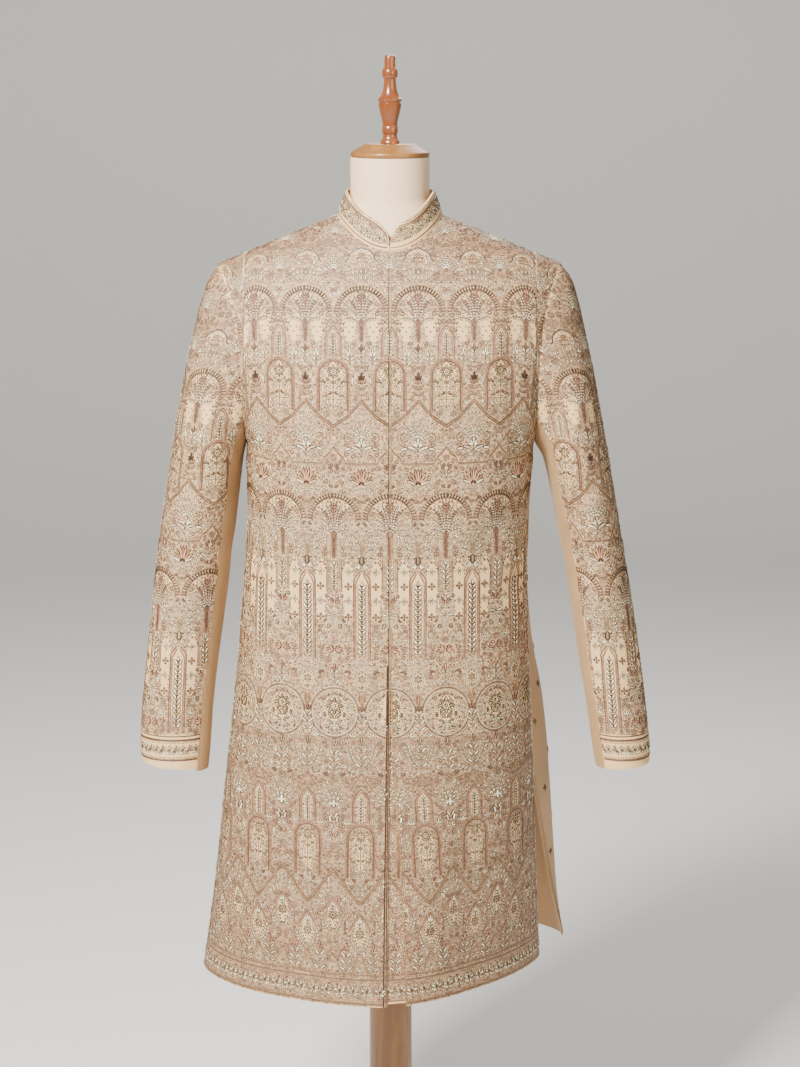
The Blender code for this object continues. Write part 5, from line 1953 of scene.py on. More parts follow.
OUTLINE_AND_FOOT_SHADE = (0.035, 0.013, 0.005)    # near-black foot of each stitch: partly dark outline thread, partly painted shade where the stitch meets the cloth
GROUND = ClothFinish("embroidered_ground", (0.79, 0.53, 0.27), (0.66, 0.41, 0.19), 0.60, 0.08)
# The ground's raw silk, unembroidered, with its colours darkened as painted shade on the back and the under-sleeves
SHADED_PLAIN_SILK = ClothFinish("plain_raw_silk_painted_shade", (0.46, 0.28, 0.13), (0.35, 0.205, 0.09), 0.50, 0.12, 0.0006, 0.5)
COVER = ClothFinish("form_cover", (0.73, 0.55, 0.36), (0.69, 0.51, 0.33), 0.80, 0.05, 0.0009, 0.2)
THREADS = {
    Thread.SILK: ThreadFinish("cream_silk", (0.94, 0.74, 0.49), 0.34),
    Thread.BLUSH: ThreadFinish("blush_silk", (0.50, 0.24, 0.14), 0.42),
    Thread.MAUVE: ThreadFinish("antique_mauve", (0.22, 0.115, 0.065), 0.50),
    Thread.SAGE: ThreadFinish("sage_silk", (0.34, 0.25, 0.13), 0.46),
    Thread.DARK: ThreadFinish("antique_dark", (0.055, 0.028, 0.014), 0.45),
    Thread.GOLD: ThreadFinish("gold_cord", (0.55, 0.34, 0.15), 0.40, 0.2),
    Thread.PEARL: ThreadFinish("seed_pearl", (0.90, 0.80, 0.64), 0.18),
    Thread.SPANGLE: ThreadFinish("spangle", (0.78, 0.64, 0.44), 0.24, 0.85),
    # Painted shade among the stitches, and a darker copy of it
    Thread.NET: ThreadFinish("painted_shade_layer", (0.47, 0.30, 0.162), 0.6, vary=0.2),
    Thread.LOW_NET: ThreadFinish("painted_shade_deep", (0.36, 0.22, 0.12), 0.6, vary=0.2),
}
PALE_WOOD = WoodFinish("pale_wood", (0.27, 0.12, 0.026), (0.18, 0.07, 0.013), 0.42, 0.15)
RED_WOOD = WoodFinish("red_wood", (0.27, 0.08, 0.018), (0.15, 0.04, 0.010), 0.26, 0.5)


class Dyer:
    """Makes the materials of all the finishes."""

    def __init__(self) -> None:
        """Make the node groups that the materials share."""
        self.weave = self.make_weave()
        self.grain = self.make_grain()

    @staticmethod
    def start_group(name: str, inputs: dict[str, float], outputs: dict[str, str]) -> tuple:
        """Start a node group with named sockets.

        Args:
            name: Name of the group.
            inputs: Number inputs with their usual values.
            outputs: Output names with their socket types.

        Returns:
            The group, its input node and its output node.
        """
        group = bpy.data.node_groups.new(name, "ShaderNodeTree")
        for label, value in inputs.items():
            socket = group.interface.new_socket(label, in_out="INPUT", socket_type="NodeSocketFloat")
            socket.default_value = value
        for label, kind in outputs.items():
            group.interface.new_socket(label, in_out="OUTPUT", socket_type=kind)
        return group, group.nodes.new("NodeGroupInput"), group.nodes.new("NodeGroupOutput")

    def make_weave(self) -> bpy.types.NodeTree:
        """Make the weave: crossing threads in the cloth's own flat measure, and slubs.

        Returns:
            Node group of the weave.
        """
        group, given, out = self.start_group(
            "weave", {"Threads per metre": 2000.0}, {"Height": "NodeSocketFloat", "Slub": "NodeSocketFloat"}
        )
        nodes, links = group.nodes, group.links
        flat = nodes.new("ShaderNodeUVMap")
        flat.uv_map = "flat"
        scaled = nodes.new("ShaderNodeVectorMath")
        scaled.operation = "SCALE"
        links.new(flat.outputs["UV"], scaled.inputs[0])
        links.new(given.outputs["Threads per metre"], scaled.inputs["Scale"])
        parts = nodes.new("ShaderNodeSeparateXYZ")
        links.new(scaled.outputs["Vector"], parts.inputs["Vector"])
        waves = []
        for axis in ("X", "Y"):
            turn = nodes.new("ShaderNodeMath")
            turn.operation = "MULTIPLY"
            turn.inputs[1].default_value = math.pi
            links.new(parts.outputs[axis], turn.inputs[0])
            wave = nodes.new("ShaderNodeMath")
            wave.operation = "SINE"
            links.new(turn.outputs["Value"], wave.inputs[0])
            waves.append(wave)
        product = nodes.new("ShaderNodeMath")
        product.operation = "MULTIPLY"
        links.new(waves[0].outputs["Value"], product.inputs[0])
        links.new(waves[1].outputs["Value"], product.inputs[1])
        links.new(product.outputs["Value"], out.inputs["Height"])
        stretched = nodes.new("ShaderNodeVectorMath")
        stretched.operation = "MULTIPLY"
        stretched.inputs[1].default_value = (90.0, 1400.0, 1.0)
        links.new(flat.outputs["UV"], stretched.inputs[0])
        slub = nodes.new("ShaderNodeTexNoise")
        slub.inputs["Scale"].default_value = 1.0
        slub.inputs["Detail"].default_value = 3.0
        links.new(stretched.outputs["Vector"], slub.inputs["Vector"])
        links.new(slub.outputs["Fac"], out.inputs["Slub"])
        return group

    def make_grain(self) -> bpy.types.NodeTree:
        """Make the grain: long noise streaks along the upright axis.

        Returns:
            Node group of the grain.
        """
        group, given, out = self.start_group(
            "grain", {"Fineness": 60.0}, {"Streaks": "NodeSocketFloat", "Pores": "NodeSocketFloat"}
        )
        nodes, links = group.nodes, group.links
        place = nodes.new("ShaderNodeTexCoord")
        squeeze = nodes.new("ShaderNodeVectorMath")
        squeeze.operation = "MULTIPLY"
        squeeze.inputs[1].default_value = (1.0, 1.0, 0.12)
        links.new(place.outputs["Object"], squeeze.inputs[0])
        for label, detail, times in (("Streaks", 4.0, 1.0), ("Pores", 2.0, 9.0)):
            scale = nodes.new("ShaderNodeMath")
            scale.operation = "MULTIPLY"
            scale.inputs[1].default_value = times
            links.new(given.outputs["Fineness"], scale.inputs[0])
            noise = nodes.new("ShaderNodeTexNoise")
            noise.inputs["Detail"].default_value = detail
            noise.inputs["Distortion"].default_value = 0.6
            links.new(squeeze.outputs["Vector"], noise.inputs["Vector"])
            links.new(scale.outputs["Value"], noise.inputs["Scale"])
            links.new(noise.outputs["Fac"], out.inputs[label])
        return group

    @staticmethod
    def start(name: str, roughness: float) -> tuple:
        """Start a material.

        Args:
            name: Its name.
            roughness: Its roughness.

        Returns:
            The material, its nodes, its links and its Principled shader.
        """
        material = bpy.data.materials.new(name)
        material.use_nodes = True
        tree = material.node_tree
        shader = tree.nodes["Principled BSDF"]
        shader.inputs["Roughness"].default_value = roughness
        return material, tree.nodes, tree.links, shader

    @staticmethod
    def blend(
        nodes: bpy.types.Nodes, links: bpy.types.NodeLinks, factor: bpy.types.NodeSocket, first: tuple,
        last: tuple, target: bpy.types.NodeSocket,
    ) -> None:
        """Blend two colours by a factor into a colour socket.

        Args:
            nodes: Nodes of the material.
            links: Links of the material.
            factor: Output socket of the factor.
            first: Colour at 0.35.
            last: Colour at 0.65.
            target: Input socket that takes the colour.
        """
        ramp = nodes.new("ShaderNodeValToRGB")
        ramp.color_ramp.elements[0].position = 0.35
        ramp.color_ramp.elements[1].position = 0.65
        ramp.color_ramp.elements[0].color = (*first, 1.0)
        ramp.color_ramp.elements[1].color = (*last, 1.0)
        links.new(factor, ramp.inputs["Fac"])
        links.new(ramp.outputs["Color"], target)

    def cloth(self, finish: ClothFinish) -> bpy.types.Material:
        """Make the material of a woven cloth.

        Args:
            finish: Colours and gloss of the material.

        Returns:
            Material of the cloth.
        """
        material, nodes, links, shader = self.start(finish.name, finish.roughness)
        shader.inputs["Sheen Weight"].default_value = finish.sheen
        shader.inputs["Sheen Roughness"].default_value = 0.4
        shader.inputs["Sheen Tint"].default_value = (1.0, 0.80, 0.58, 1.0)
        shader.inputs["Specular IOR Level"].default_value = 0.3
        weave = nodes.new("ShaderNodeGroup")
        weave.node_tree = self.weave
        weave.inputs["Threads per metre"].default_value = 1.0 / finish.weave
        place = nodes.new("ShaderNodeTexCoord")
        patch = nodes.new("ShaderNodeTexNoise")
        patch.inputs["Scale"].default_value = 14.0
        patch.inputs["Detail"].default_value = 2.0
        links.new(place.outputs["Object"], patch.inputs["Vector"])
        share = nodes.new("ShaderNodeMix")
        share.inputs["Factor"].default_value = 0.4
        links.new(weave.outputs["Slub"], share.inputs["A"])
        links.new(patch.outputs["Fac"], share.inputs["B"])
        self.blend(nodes, links, share.outputs["Result"], finish.dark, finish.light, shader.inputs["Base Color"])
        bump = nodes.new("ShaderNodeBump")
        bump.inputs["Strength"].default_value = finish.bump
        bump.inputs["Distance"].default_value = 0.0002
        links.new(weave.outputs["Height"], bump.inputs["Height"])
        links.new(bump.outputs["Normal"], shader.inputs["Normal"])
        return material

    def thread(self, finish: ThreadFinish) -> bpy.types.Material:
        """Make the material of a thread, with satin ridges across each stitch and a near-black foot, partly outline and
        partly painted shade.

        Args:
            finish: Colours and gloss of the material.

        Returns:
            Material of the thread.
        """
        material, nodes, links, shader = self.start(finish.name, finish.roughness)
        shader.inputs["Metallic"].default_value = finish.metallic
        shader.inputs["Sheen Weight"].default_value = finish.sheen
        shader.inputs["Specular IOR Level"].default_value = 0.35
        tone = nodes.new("ShaderNodeAttribute")
        tone.attribute_name = "tone"
        dark = tuple(value * (1.0 - 1.6 * finish.vary) for value in finish.color)
        light = tuple(min(0.95, value * (1.0 + finish.vary)) for value in finish.color)
        # Corners at each stitch's foot blend to near-black: partly outline thread, partly painted shade where the
        # stitch meets the cloth
        rise = nodes.new("ShaderNodeAttribute")
        rise.attribute_name = "rise"
        outline = nodes.new("ShaderNodeMapRange")
        outline.inputs["From Min"].default_value = finish.outline
        outline.inputs["From Max"].default_value = finish.outline + 0.12
        links.new(rise.outputs["Fac"], outline.inputs["Value"])
        edged_and_shaded = nodes.new("ShaderNodeMix")
        edged_and_shaded.data_type = "RGBA"
        edged_and_shaded.inputs[6].default_value = (*OUTLINE_AND_FOOT_SHADE, 1.0)
        links.new(outline.outputs["Result"], edged_and_shaded.inputs["Factor"])
        self.blend(nodes, links, tone.outputs["Fac"], dark, light, edged_and_shaded.inputs[7])
        links.new(edged_and_shaded.outputs[2], shader.inputs["Base Color"])
        flat = nodes.new("ShaderNodeUVMap")
        flat.uv_map = "flat"
        wave = nodes.new("ShaderNodeTexWave")
        wave.bands_direction = "X"
        wave.inputs["Scale"].default_value = 900.0
        wave.inputs["Distortion"].default_value = 1.0
        links.new(flat.outputs["UV"], wave.inputs["Vector"])
        bump = nodes.new("ShaderNodeBump")
        bump.inputs["Strength"].default_value = 0.25
        bump.inputs["Distance"].default_value = 0.0001
        links.new(wave.outputs["Fac"], bump.inputs["Height"])
        links.new(bump.outputs["Normal"], shader.inputs["Normal"])
        return material

    def wood(self, finish: WoodFinish) -> bpy.types.Material:
        """Make the material of a polished wood.

        Args:
            finish: Colours and gloss of the material.

        Returns:
            Material of the wood.
        """
        material, nodes, links, shader = self.start(finish.name, finish.roughness)
        shader.inputs["Coat Weight"].default_value = finish.coat
        shader.inputs["Coat Roughness"].default_value = 0.12
        grain = nodes.new("ShaderNodeGroup")
        grain.node_tree = self.grain
        self.blend(nodes, links, grain.outputs["Streaks"], finish.dark, finish.light, shader.inputs["Base Color"])
        bump = nodes.new("ShaderNodeBump")
        bump.inputs["Strength"].default_value = 0.15
        bump.inputs["Distance"].default_value = 0.0003
        links.new(grain.outputs["Pores"], bump.inputs["Height"])
        links.new(bump.outputs["Normal"], shader.inputs["Normal"])
        return material


# Meshes from arrays

def mesh_piece(name: str, points: np.ndarray, faces: list, materials: list, slots: np.ndarray | None = None,
               flat: np.ndarray | None = None) -> bpy.types.Object:
    """Make one smooth shaded object from arrays.

    Args:
        name: Name of the piece.
        points: Corners, n by 3.
        faces: Corner numbers of each face.
        materials: Materials of the piece.
        slots: Material slot of each face.
        flat: Flat measure of each corner, n by 2, in metres.

    Returns:
        The new object.
    """
    mesh = bpy.data.meshes.new(name)
    mesh.from_pydata(points.tolist(), [], faces)
    for material in materials:
        mesh.materials.append(material)
    if slots is not None:
        mesh.polygons.foreach_set("material_index", slots.astype(np.int32))
    if flat is not None:
        layer = mesh.uv_layers.new(name="flat")
        corner = np.empty(len(mesh.loops), np.int32)
        mesh.loops.foreach_get("vertex_index", corner)
        layer.data.foreach_set("uv", flat[corner].astype(np.float32).ravel())
    mesh.shade_smooth()
    mesh.update()
    piece = bpy.data.objects.new(name, mesh)
    bpy.context.scene.collection.objects.link(piece)
    return piece


def wall(
    name: str, outer: np.ndarray, inner: np.ndarray, outward: np.ndarray, material: bpy.types.Material,
) -> bpy.types.Object:
    """Make a closed wall between an outer and an inner grid of points.

    Args:
        name: Name of the piece.
        outer: Outer points, rows by columns by 3.
        inner: Inner points, matching them.
        outward: Outward normal in the middle of the grid.
        material: Material of the cloth.

    Returns:
        The new object.
    """
    rows, columns = outer.shape[:2]
    count = rows * columns
    numbers = np.arange(count).reshape(rows, columns)
    quads = np.stack([numbers[:-1, :-1], numbers[:-1, 1:], numbers[1:, 1:], numbers[1:, :-1]], axis=-1).reshape(-1, 4)
    middle = outer[rows // 2, columns // 2]
    facing = np.cross(outer[rows // 2, columns // 2 + 1] - middle, outer[rows // 2 + 1, columns // 2] - middle)
    if facing @ outward < 0.0:
        quads = quads[:, ::-1]
    rim = np.concatenate([numbers[0, :-1], numbers[:-1, -1], numbers[-1, :0:-1], numbers[:0:-1, 0]])
    after = np.roll(rim, -1)
    sides = np.stack([rim, rim + count, after + count, after], axis=1)
    if facing @ outward < 0.0:
        sides = sides[:, ::-1]
    faces = np.concatenate([quads, quads[:, ::-1] + count, sides])
    across = run_lengths(outer)
    up = np.swapaxes(run_lengths(np.swapaxes(outer, 0, 1)), 0, 1)
    flat = np.stack([across, up], axis=-1).reshape(-1, 2)
    points = np.concatenate([outer.reshape(-1, 3), inner.reshape(-1, 3)])
    piece = mesh_piece(name, points, faces.tolist(), [material], flat=np.concatenate([flat, flat]))
    piece.data.set_sharp_from_angle(angle=math.radians(50.0))
    return piece


def sew(name: str, cloth: ClothMap, rows: np.ndarray, materials: list, margin: float, seed: int) -> bpy.types.Object:
    """Sew stitches on a piece of cloth.

    Args:
        name: Name of the embroidery.
        cloth: Flat measures of the cloth.
        rows: Stitches, with places as p and q in metres.
        materials: Materials of the threads, in the order of Thread.
        margin: How far the stitches keep from the piece's edge.
        seed: Seed of the varied tones.

    Returns:
        The embroidery as one object.
    """
    rng = np.random.default_rng(seed)
    reach = 0.5 * rows[:, 4] * np.where(rows[:, 0] == Form.BEAD.value, 0.0, 1.0)
    _, _, stretch = cloth.place(rows[:, 1], rows[:, 2])
    at_p = rows[:, 1] + reach * np.cos(rows[:, 3])
    at_q = rows[:, 2] + reach * np.sin(rows[:, 3]) / stretch
    rows = rows[cloth.inside(at_p, at_q, margin)]
    points, faces, slots, flats, tones, rises = [], [], [], [], [], []
    start = 0
    for form, relief in RELIEFS.items():
        part = rows[rows[:, 0] == form.value]
        if not len(part):
            continue
        p, q, turn, length, width, height = (part[:, at][:, None] for at in range(1, 7))
        along = relief.corners[None, :, 0] * length
        aside = relief.corners[None, :, 1] * width
        _, _, stretch = cloth.place(p, q)
        over = along * np.cos(turn) - aside * np.sin(turn)
        up = (along * np.sin(turn) + aside * np.cos(turn)) / stretch
        place, normal, _ = cloth.place(p + over, q + up)
        lift = relief.corners[None, :, 2] * height + (0.0 if form is Form.PATCH else PAINTED_SHADE_HEIGHT * 0.001)
        points.append((place + normal * lift[..., None]).reshape(-1, 3))
        flats.append(np.stack([along, aside], axis=-1).reshape(-1, 2))
        tones.append(np.repeat(rng.random(len(part)), len(relief.corners)))
        # Marks the raised corners; the material paints the others near-black, partly as outline, partly as painted
        # shade
        rises.append(np.tile(relief.corners[:, 2] > 0.0, len(part)))
        corner = relief.faces[:, ::-1] if cloth.flipped else relief.faces
        offsets = start + np.arange(len(part))[:, None, None] * len(relief.corners)
        faces.append((corner[None] + offsets).reshape(-1, 3))
        slots.append(np.repeat(part[:, 7].astype(int), len(corner)))
        start += len(part) * len(relief.corners)
    piece = mesh_piece(name, np.concatenate(points), np.concatenate(faces).tolist(), materials,
                       np.concatenate(slots), np.concatenate(flats))
    for label, values in (("tone", tones), ("rise", rises)):
        layer = piece.data.attributes.new(label, "FLOAT", "POINT")
        layer.data.foreach_set("value", np.concatenate(values).astype(np.float32))
    LOG.info("%s: %d stitches, %d triangles", name, len(rows), len(piece.data.polygons))
    return piece


def stamp(
    rows: np.ndarray, centres: list[float], shift: float = 0.0, low: float = 0.0, high: float = 1e9,
) -> np.ndarray:
    """Repeat stitches side by side on a piece.

    Args:
        rows: Stitches of one repeat, in millimetres.
        centres: Middle of each repeat, in millimetres of p.
        shift: How far they move up, in millimetres.
        low: Lowest height that is kept, before the move.
        high: Highest height that is kept, before the move.

    Returns:
        Stitches in metres.
    """
    kept = rows[(rows[:, 2] >= low) & (rows[:, 2] <= high)]
    copies = []
    for centre in centres:
        copy = kept.copy()
        copy[:, 1] += centre
        copy[:, 2] += shift
        copies.append(copy)
    stitches = np.concatenate(copies)
    stitches[:, [1, 2, 4, 5, 6]] *= 0.001
    return stitches


# The coat

@dataclass
class Coat:
    """The sherwani: shells on the solids' forms and the embroidery over them."""

    dyer: Dyer
    skirt_rows: int = 78
    yoke_step: float = 0.25
    columns: int = 33
    ground: bpy.types.Material = field(init=False)
    plain: bpy.types.Material = field(init=False)
    threads: list = field(init=False)
    repeat: Repeat = field(init=False)

    def __post_init__(self) -> None:
        """Make the finishes and the pattern's repeat."""
        self.ground = self.dyer.cloth(GROUND)
        # Plain silk of the back and under-sleeves, darkened as painted shade
        self.plain = self.dyer.cloth(SHADED_PLAIN_SILK)
        self.threads = [self.dyer.thread(THREADS[thread]) for thread in Thread]
        self.repeat = Repeat()

    def rows(self) -> np.ndarray:
        """Fine rows of the body, from the hem to the shoulder seam.

        Returns:
            Row numbers, with shares of a row between them.
        """
        low = np.linspace(0.0, SKIRT_ROWS, self.skirt_rows, endpoint=False)
        high = np.arange(SKIRT_ROWS, ALL_ROWS - 1.0, self.yoke_step)
        crest = np.array([ALL_ROWS - 1.0, ALL_ROWS - 0.75, ALL_ROWS - 0.5, ALL_ROWS - 0.25, ALL_ROWS - 0.1, ALL_ROWS])
        return np.concatenate([low, high, crest])

    def half(self, side: int, front: bool) -> tuple[np.ndarray, np.ndarray]:
        """Outer and inner points of one half of a front or back.

        Args:
            side: -1 for the left half, 1 for the right half.
            front: True for a front, False for the back.

        Returns:
            Points of the half panel.
        """
        rows = self.rows()
        points, normals = body_sheet(side, front, rows, np.linspace(0.0, 1.0, self.columns))
        vent_row = (VENT_Z - HEM_Z) / (UNDERARM_Z - HEM_Z) * SKIRT_ROWS
        seamed = (rows <= SKIRT_ROWS) & (front or side < 0 or rows > vent_row)
        normals[seamed, -1, 1] = 0.0
        normals = unit(normals)
        trim = (-1.0 if front else 1.0) * SEAM / 2.0
        points[-1, :, 1] += trim
        points[seamed, -1, 1] += trim
        if front:
            closed = (rows > SKIRT_ROWS) & (rows <= SKIRT_ROWS + NECK_ROW)
            points[closed, 0, 0] += side * SEAM / 2.0
        return points, points - normals * WALL

    def front(self, side: int) -> None:
        """Make one front with its embroidery.

        Args:
            side: -1 for the left half, 1 for the right half.
        """
        half = "right" if side > 0 else "left"
        outer, inner = self.half(side, True)
        piece = wall(f"cloth_front_{half}", outer, inner, np.array([0.0, -1.0, 0.0]), self.ground)
        node = f"front_{half}"
        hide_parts(node)
        cloth = BodyMap(side, True)
        stitches = stamp(self.repeat.rows, [-37.5, 37.5, 112.5, 187.5, 262.5, 337.5])
        # On the left front the stitches next to the closure below 0.9 m are left out, and its edge cord, with a wider
        # one below 0.9 m, is dark thread: painted shadow in the gap under the right front. The right front's edge cord
        # is gold piping.
        if side < 0:
            near = (stitches[:, 1] < 0.0045) & (stitches[:, 2] < 0.9) & (stitches[:, 0] != Form.PATCH.value)
            stitches = stitches[~near]
        edge = Motifs()
        edge.cord([(1.4, 433.0), (1.4, 1452.0)], Thread.GOLD if side > 0 else Thread.DARK, 0.8, 4.0)
        if side < 0:
            edge.cord([(4.6, 433.0), (3.4, 900.0)], Thread.DARK, 1.1, 4.0)
        stitches = np.concatenate([stitches, stamp(edge.array(), [0.0])])
        sewn = []
        for part, low, high in (("skirt", 0.0, 0.96), ("bodice", 0.96, 2.0)):
            kept = stitches[(stitches[:, 2] >= low) & (stitches[:, 2] < high)]
            sewn.append(sew(f"embroidery_front_{half}_{part}", cloth, kept, self.threads, 0.0005, 3 + side))
        self.finish(piece, "embroidered", *sewn)

    def back(self) -> None:
        """Make the back with its scattered small flowers."""
        left_outer, left_inner = self.half(-1, False)
        right_outer, right_inner = self.half(1, False)
        materials = [self.plain]
        pieces = []
        for side, outer, inner in ((-1, left_outer, left_inner), (1, right_outer, right_inner)):
            name = "cloth_back_" + ("right" if side > 0 else "left")
            pieces.append(wall(name, outer, inner, np.array([0.0, 1.0, 0.0]), materials[0]))
        piece = self.join_halves(pieces)
        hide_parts("back")
        sewn = []
        for side in (-1, 1):
            cloth = BodyMap(side, False)
            motifs = Motifs()
            for row, y in enumerate(np.arange(470.0, 1600.0, 52.0)):
                for x in np.arange(30.0 if row % 2 else 0.0, 330.0, 60.0):
                    if x > 0.0 or side > 0:
                        cross(motifs, x, y, 9.0, Thread.DARK if (row + int(x)) % 3 else Thread.MAUVE)
                        motifs.bead(x, y - 6.5, 1.4, Thread.GOLD)
            stitches = [stamp(motifs.array(), [0.0])]
            if side > 0:
                stitches.append(self.flap_stitches())
            half = "right" if side > 0 else "left"
            made = sew(f"embroidery_back_{half}", cloth, np.concatenate(stitches), self.threads, 0.002, 8 + side)
            sewn.append(made)
        self.finish(piece, "plain", *sewn)

    def join_halves(self, pieces: list) -> bpy.types.Object:
        """Join the two halves of the back into one closed wall along the middle.

        Args:
            pieces: Halves to join.

        Returns:
            The joined piece.
        """
        mesh_data = bmesh.new()
        for piece in pieces:
            mesh_data.from_mesh(piece.data)
        rim = [face for face in mesh_data.faces if all(abs(vert.co.x) < 1e-6 for vert in face.verts)]
        bmesh.ops.delete(mesh_data, geom=rim, context="FACES_ONLY")
        middle = [vert for vert in mesh_data.verts if abs(vert.co.x) < 1e-4]
        bmesh.ops.remove_doubles(mesh_data, verts=middle, dist=2e-5)
        mesh = bpy.data.meshes.new("cloth_back")
        mesh_data.to_mesh(mesh)
        mesh_data.free()
        mesh.materials.append(self.plain)
        mesh.shade_smooth()
        mesh.set_sharp_from_angle(angle=math.radians(50.0))
        joined = bpy.data.objects.new("cloth_back", mesh)
        bpy.context.scene.collection.objects.link(joined)
        for piece in pieces:
            bpy.data.objects.remove(piece, do_unlink=True)
        return joined

    def flap_stitches(self) -> np.ndarray:
        """Two rows of small stitches along the back's edge at the vent.

        Returns:
            Stitches in metres.
        """
        levels = np.arange(HEM_Z + 0.004, VENT_Z, 0.0042)
        shares = np.linspace(0.0, 1.0, 90)
        rows = (levels - HEM_Z) / (UNDERARM_Z - HEM_Z) * SKIRT_ROWS
        ends = run_lengths(body_point(1, False, rows[:, None], shares[None, :]))[:, -1]
        made = Motifs()
        for inset in (3.2, 7.0):
            for end, level in zip(ends, levels):
                across, foot = end * 1000.0 - inset, level * 1000.0
                made.cord([(across, foot), (across, foot + 2.6)], Thread.GOLD, 0.9)
        return stamp(made.array(), [0.0])

    def sleeves(self, side: int) -> None:
        """Make the upper and under sleeve of one side.

        Args:
            side: -1 for the left half, 1 for the right half.
        """
        half = "right" if side > 0 else "left"
        trim = math.degrees(SEAM / 2.0 / 0.039)
        for upper, first, last in ((True, -120.0, 135.0), (False, 135.0, 240.0)):
            drop = 0.004 if not upper and side < 0 else 0.0
            angles = np.linspace(first + trim, last - trim, 69 if upper else 29)
            alongs = np.linspace(0.0, 1.0, 79)
            points, normals = sleeve_sheet(side, alongs, angles)
            points[..., 2] -= drop * ease(0.8, 1.0, alongs)[:, None]
            points[0, :, 0] += side * SEAM
            middle = points[40, len(angles) // 2] - sleeve_axis(side, alongs[40])[0]
            kind = "upper" if upper else "under"
            piece = wall(f"cloth_sleeve_{kind}_{half}", points, points - normals * WALL, middle,
                         self.ground if upper else self.plain)
            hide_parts(f"sleeve_{kind}_{half}")
            sewn = []
            if upper:
                cloth = SleeveMap(side)
                centres = [-151.0, -76.0, -1.0, 74.0, 149.0]
                stitches = [stamp(self.repeat.rows, centres, -118.0, 905.0), self.cuff_border(centres)]
                name = f"embroidery_sleeve_{half}"
                made = sew(name, cloth, np.concatenate(stitches), self.threads, 0.0007, 12 + side)
                sewn.append(made)
            self.finish(piece, "embroidered" if upper else "plain", *sewn)

    def cuff_border(self, centres: list[float]) -> np.ndarray:
        """The border above the cuff's plain edge.

        Args:
            centres: Middle of each repeat on the sleeve.

        Returns:
            Stitches in metres.
        """
        made = Motifs()
        border(made, 750.0, 779.0)
        for y in (784.0,):
            made.cord([(-HALF, y), (HALF, y)], Thread.MAUVE, 0.7, 3.0)
        return stamp(made.array(), centres)

    def finish(self, piece: bpy.types.Object, slot: str, *sewn: bpy.types.Object) -> None:
        """Let a cloth piece and what is sewn on it ride with the coat.

        Args:
            piece: Cloth piece.
            slot: Not used.
        """
        for part in (piece, *sewn):
            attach(part, BODY)


